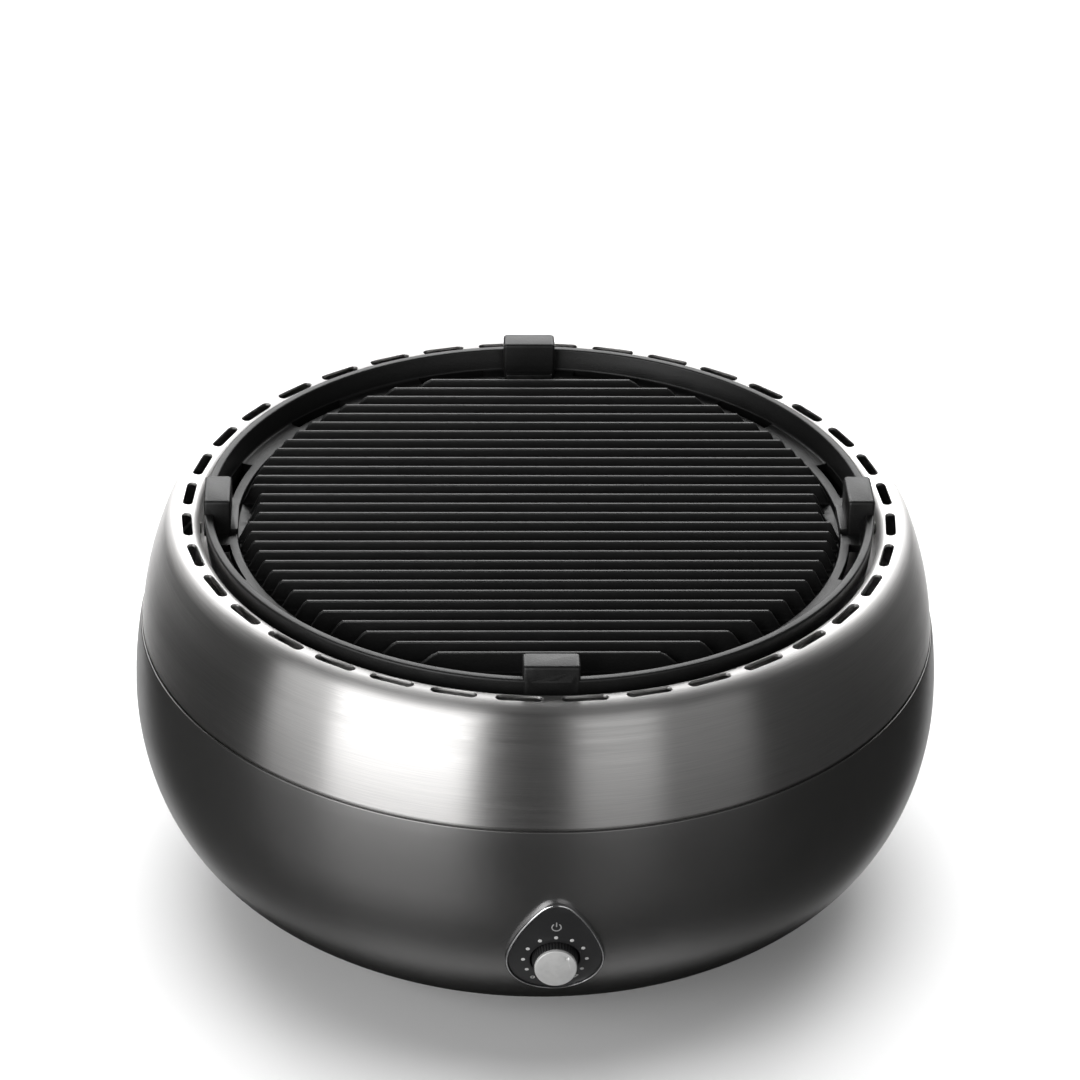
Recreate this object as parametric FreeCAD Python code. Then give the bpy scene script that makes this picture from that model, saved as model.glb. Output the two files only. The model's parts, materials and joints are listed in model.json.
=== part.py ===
import FreeCAD, Part
import math
import os

os.makedirs("parts", exist_ok=True)
V = FreeCAD.Vector
UP = V(0, 0, 1)

# Fan-assisted tabletop charcoal grill.  Millimetres, +Z up, front is -Y.
# The origin is on the table under the middle of the grill.

# ---- radii, from the pan outwards ----
pan_radius = 145.8          # outer edge of the grill pan's rim
mouth_gap = 1.8             # pan rim to the collar's mouth
flange_width = 13.1         # mouth to the corner of the collar's shoulder
collar_flare = 12.8         # shoulder corner to the seam
lip_proud = 0.9             # painted lip stands outside the steel at the seam
belly_bulge = 2.8           # painted lip to the widest point of the shell

# ---- heights, from the table upwards ----
foot_height = 14.2
base_wall = 2.0
belly_drop = 88.2           # height of the curve under the widest point
seam_rise = 33.3            # widest point to the seam
collar_height = 49.8        # seam to the flange at its slots
pan_rise = 3.8              # flange to the pan's rim
lug_rise = 6.3              # pan rim to the top of its lugs

# ---- painted shell ----
shell_wall = 1.5
side_round = 5.69           # exponents of the shell's rounded outline
bottom_round = 1.918
base_lip_outer = 112.0
base_lip_inner = 98.0
seam_gap = 1.0              # open groove between steel and paint

# ---- steel collar ----
collar_wall = 1.2
collar_round = 10.0
mouth_round = 4.2
mouth_depth = 12.0
flange_slope = 5.5          # degrees, down towards the mouth
wall_corner_inset = 1.9     # the wall's long curve turns about this corner
wall_corner_rise = 22.0
wall_curve = 140.0
skirt_depth = 11.4          # tucked skirt under the seam
skirt_inset = 0.9
skirt_flange = 10.6
vent_count = 36
vent_length = 19.0
vent_width = 4.3
vent_inset = 5.4            # mouth to the middle of the vents
collar_screws = 6

# ---- seat ring for the inner bowl ----
seat_wall = 1.2
seat_drop = 17.5            # flange to the seat
seat_width = 7.2
seat_lip_drop = 5.5         # flange to the top of the ring's upright leg
rivet_count = 6
rivet_radius = 1.6
rivet_head = 2.6
rivet_head_inside = 0.6
rivet_head_outside = 0.8
rivet_rise = 8.0            # seat to the rivets
joint_leg = 12.0            # upright leg of the ring that joins collar and shell

# ---- grill pan ----
pan_rim_width = 3.7
pan_wall_draft = 1.5
trough_depth = 10.0
trough_width = 9.1
field_drop = 2.5            # rib field's floor under the trough
pan_floor = 4.0
rib_pitch = 8.15
rib_top = 1.7
rib_root = 2.8
rib_drop = 3.4              # pan rim to the rib tops
rib_end_slope = 4.5         # ribs are this much longer at the root
short_rib_cut = 4.6
short_ribs = (-0.5, 0.5, 1.5)     # ribs that stop beside the side lugs
drain_count = 12
drain_angle = 13.2          # degrees covered by one drain
drain_width = 4.6
lug_width = 23.5
lug_depth = 12.0
lug_step = 3.0              # low step at the foot of each lug
lug_edge = 1.2
lug_step_height = 2.2
rim_round = 0.7
foot_recess = 3.6           # hollow under the trough, behind the pan's foot ring

# ---- inner bowl and what it holds ----
bowl_wall = 1.0
bowl_depth = 75.0
bowl_rim = 5.0
bowl_gap = 1.3              # bowl rim to the mouth
bowl_taper = 25.0
bowl_corner = 14.0
neck_radius = 24.0
neck_height = 7.0
cap_gap = 3.4               # neck to the burner cap
basket_radius = 64.0
basket_floor = 16.0
basket_hole_pitch = 11.0
basket_hole_radius = 2.4
sheet = 1.0                 # wall of basket, tray, cap and lid
window_count = 24
window_width = 6.0
window_height = 26.0
arch_count = 6
arch_width = 26.0
arch_height = 8.0
tray_gap = 0.6              # burner cap to the tray's inner edge
tray_room = 5.0             # tray's outer edge to the basket
tray_flare = 2.0
tray_height = 7.0
cap_height = 13.0
cap_side_holes = 16
cap_hole_radius = 1.6
lid_gap = 0.2               # basket rim to the underside of the lid
lid_overhang = 1.5
lid_dome = 4.1
lid_skirt = 5.2
loop_radius = 9.0
loop_wire = 1.5
loop_foot_radius = 13.0
loop_foot = 1.2
loop_rise = 0.6             # loop's centre over its foot
loop_room = 1.7             # top of the loop to the underside of the pan

# ---- fan ----
duct_radius = 42.5
duct_wall = 1.5
duct_height = 30.0
cone_height = 18.0
outlet_gap = 2.5            # duct outlet outside the bowl's neck
duct_sleeve = 6.2
fan_flange_width = 9.5
fan_bolt_offset = 5.5       # duct to its bolt circle
fan_flange_wall = 2.0
blade_count = 7
blade_tilt = 35.0
blade_wall = 1.6
hub_radius = 9.0
hub_height = 11.0
tip_gap = 2.0
motor_radius = 12.2
motor_length = 25.0
motor_lift = 17.3           # base to the underside of the motor
shaft_radius = 1.5
bracket_height = 6.0
intake_inset = 4.5          # duct to the edge of the intake
grille_bars = 24
grille_slot = 3.2
grille_hub = 14.0
grille_wall = 1.8

# ---- heat shield ----
shield_inset = 15.6         # mouth of the collar to the edge of the shield
shield_gap = 7.0            # bowl to shield
post_circle = 80.0
post_radius = 4.5

# ---- battery compartment ----
cell_radius = 7.25
cell_length = 50.5
cell_gap = 0.4
contact_room = 1.75
box_wall = 1.5
box_gap = 2.5               # fan flange to the battery box
door_wall = 2.0
door_gap = 0.3
rail_width = 2.6

# ---- feet and fasteners ----
foot_circle = 88.0
foot_radius = 11.0
foot_taper = 1.5
foot_recess_depth = 6.0     # for the screw's head
base_overlap = 8.0          # base plate over the shell's inner lip
base_bolt_inset = 4.0
bolt_radius = 2.0           # M4
bolt_hole = 2.25
head_radius = 3.6
head_height = 2.2
key_radius = 1.6
key_depth = 1.2
nut_radius = 4.0
nut_height = 3.2
thread_end = 1.0            # screw end beyond its nut

# ---- dial ----
dial_azimuth = 0.93         # degrees from the front bridge between two vents
dial_drop = 31.0            # widest point of the shell to the dial's axis
plate_wall = 1.8
plate_round = 19.6          # lower arc of the dial plate's outline
plate_tip_round = 8.5
plate_tip_rise = 21.5
plate_flank = 52.0
lip_width = 1.3
lip_height = 2.7
well_radius = 10.4
well_wall = 1.0
well_depth = 9.0
knob_gap = 0.5              # knob to the wall of its well
knob_taper = 0.7
knob_back = -2.5
knob_front = 6.9
knurl_count = 44
knurl_depth = 0.45
cap_inset = 0.4
cap_wall = 1.5
pointer_angle = 42.0        # degrees clockwise from the top
pointer_inset = 1.95        # edge of the cap to the pointer
pointer_dimple = 1.1
pot_radius = 8.2
pot_length = 10.0
pot_block = 4.0             # terminal block behind the potentiometer
pot_nut_radius = 5.2
pot_nut_height = 2.0
pot_shaft = 2.4
running_gap = 0.05
bush_radius = 3.4

# ---- internal wires ----
wire_radius = 1.2
wire_side = 4.0             # leads leave the potentiometer this far off its axis

# ---- heights and radii that follow ----
mouth_radius = pan_radius + mouth_gap
shoulder_radius = mouth_radius + flange_width
seam_radius = shoulder_radius + collar_flare
lip_radius = seam_radius + lip_proud
body_radius = lip_radius + belly_bulge
neck_outlet = neck_radius + outlet_gap
cap_inner = neck_radius + cap_gap
tray_inner = cap_inner + sheet + tray_gap
tray_outer = basket_radius - sheet - tray_room
lid_radius = basket_radius + lid_overhang
fan_flange = duct_radius + fan_flange_width
fan_bolt_circle = duct_radius + fan_bolt_offset
intake_radius = duct_radius - intake_inset
shield_radius = mouth_radius - shield_inset
box_start = fan_flange + box_gap
base_radius = base_lip_inner + base_overlap
base_bolt_circle = base_lip_inner + base_bolt_inset
knob_radius = well_radius - knob_gap
knob_front_radius = knob_radius - knob_taper
cap_radius = knob_front_radius - cap_inset
pointer_radius = cap_radius - pointer_inset
base_under = foot_height
base_top = base_under + base_wall


def outline_angle(radius):
    # where the shell's lower outline has this radius
    return math.acos((radius / body_radius) ** (side_round / 2))


base_angle = outline_angle(base_lip_outer)
belly_height = base_top + belly_drop * math.sin(base_angle) ** (2 / bottom_round)
seam_height = belly_height + seam_rise
flange_height = seam_height + collar_height
rim_height = flange_height + pan_rise
seat_height = flange_height - seat_drop
rivet_height = seat_height + rivet_rise
trough_height = rim_height - trough_depth
field_height = trough_height - field_drop
pan_under = field_height - pan_floor
bowl_bottom = seat_height - bowl_depth
bowl_floor = bowl_bottom + bowl_wall
lid_top = pan_under - loop_room - loop_wire - loop_radius - loop_rise - loop_foot
basket_top = lid_top - lid_dome - sheet - lid_gap
basket_floor_height = bowl_floor + basket_floor
shield_height = bowl_bottom - shield_gap
dial_height = belly_height - dial_drop


# ================= helpers =================

def save(name, shape):
    shape.exportStep("parts/" + name + ".step")


def flat(radius, height):
    return V(radius, 0, height)


def tube(outer, inner, low, high):
    body = Part.makeCylinder(outer, high - low, V(0, 0, low))
    if inner <= 0:
        return body
    return body.cut(Part.makeCylinder(inner, high - low + 2, V(0, 0, low - 1)))


def box(low, high):
    size = V(*high) - V(*low)
    return Part.makeBox(size.x, size.y, size.z, V(*low))


def polar(radius, degrees, height=0.0):
    angle = math.radians(degrees)
    return V(radius * math.cos(angle), radius * math.sin(angle), height)


def around(shape, count, start=0.0):
    copies = []
    for step in range(count):
        copy = shape.copy()
        copy.rotate(V(0, 0, 0), UP, start + 360.0 * step / count)
        copies.append(copy)
    return copies


def at_places(shape, places):
    copies = []
    for place in places:
        copy = shape.copy()
        copy.translate(place)
        copies.append(copy)
    return copies


def spin(edges):
    # solid of revolution about the grill's axis from a closed outline
    wire = Part.Wire(Part.__sortEdges__(edges))
    solid = Part.Face(wire).revolve(V(0, 0, 0), UP, 360)
    return solid if solid.ShapeType == "Solid" else Part.makeSolid(solid)


def spin_polygon(points):
    corners = [flat(*point) for point in points]
    edges = []
    for first, second in zip(corners, corners[1:] + corners[:1]):
        edges.append(Part.makeLine(first, second))
    return spin(edges)


def rounded_edges(corners, rounds):
    # a chain of lines with an arc at each inner corner
    edges = []
    last = corners[0]
    for before, corner, after, radius in zip(corners, corners[1:], corners[2:], rounds):
        if radius > 0:
            back = (before - corner).normalize()
            ahead = (after - corner).normalize()
            half = back.getAngle(ahead) / 2
            reach = radius / math.tan(half)
            middle = (back + ahead).normalize()
            start = corner + back * reach
            end = corner + ahead * reach
            top = corner + middle * (radius / math.sin(half) - radius)
            if (start - last).Length > 1e-6:
                edges.append(Part.makeLine(last, start))
            edges.append(Part.Arc(start, top, end).toShape())
            last = end
        else:
            edges.append(Part.makeLine(last, corner))
            last = corner
    edges.append(Part.makeLine(last, corners[-1]))
    return edges


def right_of(first, second):
    # unit normal on the right of a direction in the X-Z plane
    along = (second - first).normalize()
    return V(along.z, 0, -along.x)


def parallel_corners(corners, distance):
    shifted = []
    normals = [right_of(a, b) for a, b in zip(corners, corners[1:])]
    shifted.append(corners[0] + normals[0] * distance)
    for corner, n1, n2 in zip(corners[1:-1], normals, normals[1:]):
        total = n1 + n2
        shifted.append(corner + total * (2 * distance / total.dot(total)))
    shifted.append(corners[-1] + normals[-1] * distance)
    return shifted


def pressed_sheet(points, rounds, wall):
    # turned sheet: points give one face, the wall lies on its right
    corners = [flat(*point) for point in points]
    inner = parallel_corners(corners, wall)
    inner_rounds = []
    for a, b, c, radius in zip(corners, corners[1:], corners[2:], rounds):
        turns_right = right_of(a, b).dot(c - b) > 0
        changed = radius - wall if turns_right else radius + wall
        inner_rounds.append(max(changed, 0) if radius > 0 else 0)
    edges = rounded_edges(corners, rounds)
    edges += rounded_edges(inner, inner_rounds)
    edges.append(Part.makeLine(corners[0], inner[0]))
    edges.append(Part.makeLine(corners[-1], inner[-1]))
    return spin(edges)


def hexagon(radius, low, height):
    corners = [polar(radius, 60 * step, low) for step in range(7)]
    return Part.Face(Part.makePolygon(corners)).extrude(V(0, 0, height))


def screw(head_low, shank_low, shank_high):
    # pan-head screw: the head sits below or above its shank
    head = Part.makeCylinder(head_radius, head_height, V(0, 0, head_low))
    shank = Part.makeCylinder(bolt_radius, shank_high - shank_low, V(0, 0, shank_low))
    drive = hexagon(key_radius, head_low - 1, key_depth + 1)
    if head_low > shank_low:
        drive = hexagon(key_radius, head_low + head_height - key_depth, key_depth + 1)
    return head.fuse(shank).cut(drive).removeSplitter()


def nut(low):
    body = hexagon(nut_radius, low, nut_height)
    return body.cut(Part.makeCylinder(bolt_radius, nut_height + 2, V(0, 0, low - 1)))


def stadium(length, width, low, high):
    # slot prism with round ends, along X
    run = (length - width) / 2
    body = box((-run, -width / 2, low), (run, width / 2, high))
    for side in (-run, run):
        body = body.fuse(Part.makeCylinder(width / 2, high - low, V(side, 0, low)))
    return body.removeSplitter()


# ================= painted shell =================

def outline_point(angle, inset):
    # point on the lower outline, moved inwards along its normal
    def bare(a):
        return flat(body_radius * math.cos(a) ** (2 / side_round),
                    belly_height - belly_drop * math.sin(a) ** (2 / bottom_round))
    if angle <= 0:
        return flat(body_radius - inset, belly_height)
    step = 1e-4
    inwards = right_of(bare(angle - step), bare(angle + step))
    return bare(angle) + inwards * inset


def outline_edges(inset):
    # lip arc and lower curve of the shell, top to bottom, at an inset
    lip_height = seam_height - seam_gap
    rise = lip_height - belly_height
    arc_radius = (rise ** 2 + belly_bulge ** 2) / (2 * belly_bulge)
    centre = flat(body_radius - arc_radius, belly_height)
    lip_angle = math.asin(rise / arc_radius)
    reach = arc_radius - inset
    arc_points = []
    for share in (1, 0.5, 0):
        angle = lip_angle * share
        arc_points.append(centre + flat(reach * math.cos(angle), reach * math.sin(angle)))
    steps = 18
    points = [outline_point(base_angle * step / steps, inset) for step in range(steps + 1)]
    lower = Part.BSplineCurve()
    ends = points[-1] - points[-2]
    lower.interpolate(Points=points, InitialTangent=V(0, 0, -1), FinalTangent=ends.normalize())
    return [Part.Arc(*arc_points).toShape(), lower.toShape()], arc_points[0], points[-1]


def shell_fill(inset):
    # everything inside the shell's outline at an inset
    edges, top, bottom = outline_edges(inset)
    axis_top = flat(0, top.z)
    axis_bottom = flat(0, bottom.z)
    edges.append(Part.makeLine(axis_top, top))
    edges.append(Part.makeLine(axis_bottom, bottom))
    edges.append(Part.makeLine(axis_bottom, axis_top))
    return spin(edges)


def shell_radius_at(height, inset=0.0):
    # radius of the shell's outer face at a height under its widest point
    share = (belly_height - height) / belly_drop
    return body_radius * (1 - share ** bottom_round) ** (1 / side_round) - inset


inner_lip_top = outline_point(base_angle, shell_wall).z
dial_reach = shell_radius_at(dial_height)
dial_out = V(math.sin(math.radians(dial_azimuth)), -math.cos(math.radians(dial_azimuth)), 0)
dial_right = UP.cross(dial_out)
dial_centre = dial_out * dial_reach + UP * dial_height


def on_dial(shape):
    # from the dial's own frame (x right, y up, z out) to the grill's
    x, y, z, o = dial_right, UP, dial_out, dial_centre
    turn = FreeCAD.Matrix(x.x, y.x, z.x, o.x, x.y, y.y, z.y, o.y, x.z, y.z, z.z, o.z, 0, 0, 0, 1)
    copy = shape.copy()
    copy.Placement = FreeCAD.Placement(turn).multiply(copy.Placement)
    return copy


def dial_tube(outer, inner, low, high):
    return on_dial(tube(outer, inner, low, high))


def make_outer_shell():
    outer, outer_top, outer_end = outline_edges(0)
    inner, inner_top, inner_end = outline_edges(shell_wall)
    lip_out = flat(base_lip_inner, outer_end.z)
    lip_in = flat(base_lip_inner, inner_end.z)
    edges = outer + inner
    edges.append(Part.makeLine(outer_top, inner_top))
    edges.append(Part.makeLine(outer_end, lip_out))
    edges.append(Part.makeLine(lip_out, lip_in))
    edges.append(Part.makeLine(lip_in, inner_end))
    shell = spin(edges)
    rim = [e for e in shell.Edges if abs(e.BoundBox.ZMin - outer_top.z) < 1e-3
           and abs(e.BoundBox.ZMax - outer_top.z) < 1e-3]
    shell = shell.makeFillet(0.6, rim)
    shell = shell.cut(dial_tube(well_radius + well_wall + 0.1, 0, -15, 15))
    bolt = Part.makeCylinder(bolt_hole, 10, polar(base_bolt_circle, 0, base_top - 3))
    return shell.cut(around(bolt, 6))


# ================= collar and seat =================

skirt_radius = seam_radius - skirt_inset
skirt_bottom = seam_height - skirt_depth
skirt_edge = skirt_radius - skirt_flange
collar_bolt_circle = skirt_edge + skirt_flange / 2
vent_circle = mouth_radius + vent_inset


def flange_line(radius):
    return flange_height + (radius - vent_circle) * math.tan(math.radians(flange_slope))


def make_steel_collar():
    points = [(mouth_radius, flange_height - mouth_depth),
              (mouth_radius, flange_line(mouth_radius)),
              (shoulder_radius, flange_line(shoulder_radius)),
              (seam_radius - wall_corner_inset, seam_height + wall_corner_rise),
              (seam_radius, seam_height + 0.2),
              (skirt_radius, seam_height - 0.2),
              (skirt_radius, skirt_bottom),
              (skirt_edge, skirt_bottom)]
    rounds = [mouth_round, collar_round, wall_curve, 0, 0, 1.5]
    collar = pressed_sheet(points, rounds, collar_wall)
    vent = stadium(vent_length, vent_width, flange_height - 6, flange_height + 4)
    vent.rotate(V(0, 0, 0), UP, 90)
    vent.translate(V(vent_circle, 0, 0))
    half_pitch = 180.0 / vent_count
    bolt = Part.makeCylinder(bolt_hole, 8, polar(collar_bolt_circle, 0, skirt_bottom - 3))
    rivet = Part.makeCylinder(rivet_radius, 8, V(mouth_radius - 3, 0, rivet_height), V(1, 0, 0))
    tools = around(vent, vent_count, half_pitch)
    tools += around(bolt, collar_screws, 30)
    tools += around(rivet, rivet_count)
    return collar.cut(tools)


def make_seat_ring():
    outer = mouth_radius + collar_wall + seat_wall
    inner = outer - seat_wall
    ledge = outer - seat_width
    top = flange_height - seat_lip_drop
    ring = spin_polygon([(ledge, seat_height - seat_wall), (outer, seat_height - seat_wall),
                         (outer, top), (inner, top), (inner, seat_height), (ledge, seat_height)])
    rivet = Part.makeCylinder(rivet_radius, 8, V(mouth_radius - 1, 0, rivet_height), V(1, 0, 0))
    return ring.cut(around(rivet, rivet_count))


def make_seat_rivets():
    start = mouth_radius
    end = mouth_radius + collar_wall + seat_wall
    inside = V(start - rivet_head_inside - 0.02, 0, rivet_height)
    shank = Part.makeCylinder(rivet_radius, end - inside.x, inside, V(1, 0, 0))
    inner = Part.makeCylinder(rivet_head, rivet_head_inside, inside, V(1, 0, 0))
    outer = Part.makeCylinder(rivet_head, rivet_head_outside, V(end, 0, rivet_height), V(1, 0, 0))
    rivet = shank.fuse([inner, outer]).removeSplitter()
    return Part.makeCompound(around(rivet, rivet_count))


def make_joint_ring():
    # angle ring inside the shell that carries the collar
    leg_outer = lip_radius - shell_wall
    leg_inner = leg_outer - shell_wall
    top = skirt_bottom
    ring = spin_polygon([(skirt_edge, top - shell_wall), (leg_inner, top - shell_wall),
                         (leg_inner, top - joint_leg), (leg_outer, top - joint_leg), (leg_outer, top),
                         (skirt_edge, top)])
    bolt = Part.makeCylinder(bolt_hole, 8, polar(collar_bolt_circle, 0, top - 4))
    return ring.cut(around(bolt, collar_screws, 30))


def make_collar_bolts():
    top = skirt_bottom + collar_wall
    low = skirt_bottom - shell_wall
    places = [polar(collar_bolt_circle, 30 + 360 * k / collar_screws) for k in range(collar_screws)]
    screws = at_places(screw(top, low - nut_height - thread_end, top), places)
    nuts = at_places(nut(low - nut_height), places)
    return Part.makeCompound(screws), Part.makeCompound(nuts)


# ================= grill pan =================

rib_height = rim_height - rib_drop
wall_top = pan_radius - pan_rim_width
wall_base = wall_top - pan_wall_draft
field_radius = wall_base - trough_width
seat_top = seat_height + bowl_wall


def make_rib(offset, shorten):
    # one rib, longer at its root than at its top
    sections = []
    for height, radius, width in ((field_height - 0.5, field_radius - 0.4, rib_root),
                                  (rib_height, field_radius - rib_end_slope, rib_top)):
        half = math.sqrt(radius ** 2 - offset ** 2) - shorten
        corners = [(-half, -width / 2), (half, -width / 2), (half, width / 2), (-half, width / 2)]
        points = [V(x, offset + y, height) for x, y in corners]
        sections.append(Part.makePolygon(points + points[:1]))
    return Part.makeLoft(sections, True, True)


def rib_offsets():
    last = field_radius - rib_end_slope - 7.0
    count = int(last / rib_pitch + 0.5)
    return [step + 0.5 for step in range(-count, count)]


def make_lug():
    # lug over the rim at +X, with a low step at its foot
    inner = pan_radius - lug_depth
    half = lug_width / 2
    body = box((inner, -half, trough_height - 1), (pan_radius + 4, half, rim_height + lug_rise))
    upright = [e for e in body.Edges if e.BoundBox.ZLength > 5]
    level = [e for e in body.Edges if e.BoundBox.ZMin > rim_height + lug_rise - 0.1]
    body = body.makeFillet(lug_edge, upright + level)
    step = box((inner - lug_step, -half + 1, trough_height - 1),
               (inner + 1, half - 1, trough_height + lug_step_height))
    return body.fuse(step).common(Part.makeCylinder(pan_radius, 60, V(0, 0, trough_height - 5)))


def make_grill_pan():
    foot_top = trough_height - foot_recess
    profile = [(0, pan_under), (field_radius - 1, pan_under), (wall_base - 4.5, foot_top),
               (wall_base + 1.0, foot_top), (wall_base + 1.2, seat_top),
               (pan_radius - 2.0, seat_top), (pan_radius - 0.7, rim_height - 10),
               (pan_radius, rim_height), (wall_top, rim_height), (wall_base, trough_height),
               (field_radius, trough_height), (field_radius - 0.3, field_height),
               (0, field_height)]
    pan = spin_polygon(profile)
    rim = [e for e in pan.Edges if abs(e.BoundBox.ZMin - rim_height) < 1e-3]
    pan = pan.makeFillet(rim_round, rim)
    ribs = []
    for step in rib_offsets():
        shorten = short_rib_cut if step in short_ribs else 0
        ribs.append(make_rib(step * rib_pitch, shorten))
    pan = pan.fuse(ribs + around(make_lug(), 4))
    sector = Part.makeCylinder(wall_base - 0.2, 14, V(0, 0, trough_height - 8), UP, drain_angle)
    core = Part.makeCylinder(wall_base - 0.2 - drain_width, 20, V(0, 0, trough_height - 10))
    drain = sector.cut(core)
    first = 180.0 / drain_count - drain_angle / 2
    return pan.cut(around(drain, drain_count, first)).removeSplitter()


# ================= inner bowl and burner =================

bowl_radius = mouth_radius - bowl_gap


def make_inner_bowl():
    wall_start = bowl_radius - bowl_rim
    points = [(bowl_radius, seat_height), (wall_start, seat_height),
              (wall_start - bowl_taper, bowl_bottom), (neck_radius + 2, bowl_bottom),
              (neck_radius, bowl_bottom + neck_height)]
    return pressed_sheet(points, [1.5, bowl_corner, 1.2], bowl_wall)


def make_burner_cap():
    top = bowl_floor + cap_height
    cap = tube(cap_inner + sheet, cap_inner, bowl_floor, top)
    cap = cap.fuse(Part.makeCylinder(cap_inner + sheet, sheet, V(0, 0, top - sheet)))
    cap = cap.removeSplitter()
    side = Part.makeCylinder(cap_hole_radius, 10, V(cap_inner - 4, 0, top - 4.5), V(1, 0, 0))
    holes = around(side, cap_side_holes)
    for ring in (1, 2):
        hole = Part.makeCylinder(cap_hole_radius, 6, V(ring * cap_inner / 3, 0, top - 3))
        holes += around(hole, 6 * ring)
    return cap.cut(holes)


def make_fuel_tray():
    top = bowl_floor + tray_height
    points = [(tray_outer, top), (tray_outer - tray_flare, bowl_floor),
              (tray_inner + tray_flare, bowl_floor), (tray_inner, top)]
    return pressed_sheet(points, [2.5, 2.5], sheet)


def make_charcoal_basket():
    wall = tube(basket_radius, basket_radius - sheet, bowl_floor, basket_top)
    floor = Part.makeCylinder(basket_radius - sheet / 2, sheet, V(0, 0, basket_floor_height))
    basket = wall.fuse(floor).removeSplitter()
    window = stadium(window_height, window_width, 0, 12)
    window.rotate(V(0, 0, 0), V(0, 1, 0), 90)
    window.translate(V(basket_radius - 6, 0, (basket_floor_height + basket_top) / 2))
    holes = around(window, window_count)
    arch = box((basket_radius - 6, -arch_width / 2, bowl_floor - 1),
               (basket_radius + 6, arch_width / 2, bowl_floor + arch_height))
    holes += around(arch, arch_count)
    rings = int((basket_radius - 2 * basket_hole_radius) / basket_hole_pitch)
    for ring in range(rings + 1):
        place = V(ring * basket_hole_pitch, 0, basket_floor_height - 2)
        holes += around(Part.makeCylinder(basket_hole_radius, 6, place), max(1, 6 * ring))
    return basket.cut(holes)


def make_basket_lid():
    edge = basket_top + lid_gap + sheet
    points = [(0, lid_top), (loop_foot_radius + 5, lid_top), (lid_radius, edge),
              (lid_radius, edge - lid_skirt)]
    return pressed_sheet(points, [20, 1.6], sheet)


def make_lid_loop():
    base = Part.makeCylinder(loop_foot_radius, loop_foot, V(0, 0, lid_top))
    centre = V(0, 0, lid_top + loop_foot + loop_rise)
    arch = Part.makeTorus(loop_radius, loop_wire, centre, V(0, 1, 0))
    keep = box((-30, -30, lid_top + loop_foot / 2), (30, 30, lid_top + 30))
    return base.fuse(arch.common(keep)).removeSplitter()


# ================= fan =================

fan_top = base_top + duct_height
fan_places = [polar(fan_bolt_circle, 45 + 90 * k) for k in range(4)]
wire_height = base_top + motor_lift + 1.5
wire_angle = 225.0


def wire_hole(radius):
    direction = polar(1, wire_angle)
    start = polar(duct_radius - 10, wire_angle, wire_height)
    return Part.makeCylinder(radius, 20, start, direction)


def make_fan_duct():
    body = tube(duct_radius, duct_radius - duct_wall, base_top, fan_top)
    flange = tube(fan_flange, duct_radius - duct_wall, base_top, base_top + fan_flange_wall)
    holes = at_places(Part.makeCylinder(bolt_hole, 8, V(0, 0, base_top - 2)), fan_places)
    return body.fuse(flange).removeSplitter().cut(holes + [wire_hole(wire_radius + 0.1)])


def make_duct_cone():
    # reducer from the fan duct to the outlet under the bowl
    sleeve = duct_radius + 0.1 + duct_wall
    top = bowl_bottom - 1.5
    points = [(neck_outlet, top), (neck_outlet, fan_top + cone_height + 2),
              (sleeve, fan_top + 2), (sleeve, fan_top - duct_sleeve)]
    return pressed_sheet(points, [4, 4], duct_wall)


def make_motor_bracket():
    low = base_top + motor_lift + 4.5
    ring = tube(motor_radius + 2.8, 0, low, low + bracket_height)
    arm = box((0, -2.5, low), (duct_radius, 2.5, low + bracket_height))
    body = ring.fuse(around(arm, 3, 45)).removeSplitter()
    body = body.common(Part.makeCylinder(duct_radius - duct_wall, 60, V(0, 0, low - 5)))
    return body.cut(Part.makeCylinder(motor_radius, 60, V(0, 0, low - 5)))


def make_fan_motor():
    low = base_top + motor_lift
    can = Part.makeCylinder(motor_radius, motor_length, V(0, 0, low))
    can = can.makeFillet(1.2, [e for e in can.Edges if e.BoundBox.ZMin > low + motor_length - 0.1
                               and e.BoundBox.ZLength < 0.1])
    terminal = box((motor_radius - 2, -3, low), (motor_radius + 4, 3, low + 3))
    terminal.rotate(V(0, 0, 0), UP, wire_angle)
    bore = Part.makeCylinder(shaft_radius + running_gap, 14, V(0, 0, low - 1))
    return can.fuse(terminal).removeSplitter().cut(bore)


hub_low = base_top + 3.8


def make_impeller():
    hub = Part.makeCylinder(hub_radius, hub_height, V(0, 0, hub_low))
    tip = duct_radius - duct_wall - tip_gap
    blade = box((hub_radius - 2, -8, -blade_wall / 2), (tip + 5, 8, blade_wall / 2))
    blade.rotate(V(0, 0, 0), V(1, 0, 0), blade_tilt)
    blade.translate(V(0, 0, hub_low + hub_height / 2))
    fan = hub.fuse(around(blade, blade_count))
    fan = fan.common(Part.makeCylinder(tip, hub_height, V(0, 0, hub_low)))
    bore = Part.makeCylinder(shaft_radius, 40, V(0, 0, hub_low - 5))
    return fan.removeSplitter().cut(bore)


def make_motor_shaft():
    top = base_top + motor_lift + 12
    return Part.makeCylinder(shaft_radius, top - hub_low, V(0, 0, hub_low))


def make_intake_grille():
    low = base_under - grille_wall
    disc = Part.makeCylinder(fan_flange, grille_wall, V(0, 0, low))
    slot = stadium(intake_radius - grille_hub, grille_slot, low - 2, base_under + 2)
    slot.translate(V((intake_radius + grille_hub) / 2, 0, 0))
    bolt = at_places(Part.makeCylinder(bolt_hole, 10, V(0, 0, low - 2)), fan_places)
    centre = around(Part.makeCylinder(grille_slot / 2, 10, V(grille_hub - 6, 0, low - 2)), 6)
    return disc.cut(around(slot, grille_bars, 180.0 / grille_bars) + bolt + centre)


def make_fan_bolts():
    under = base_under - grille_wall
    top = base_top + fan_flange_wall
    bolts = screw(under - head_height, under, top + nut_height + thread_end)
    nuts = nut(top)
    return (Part.makeCompound(at_places(bolts, fan_places)),
            Part.makeCompound(at_places(nuts, fan_places)))


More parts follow.
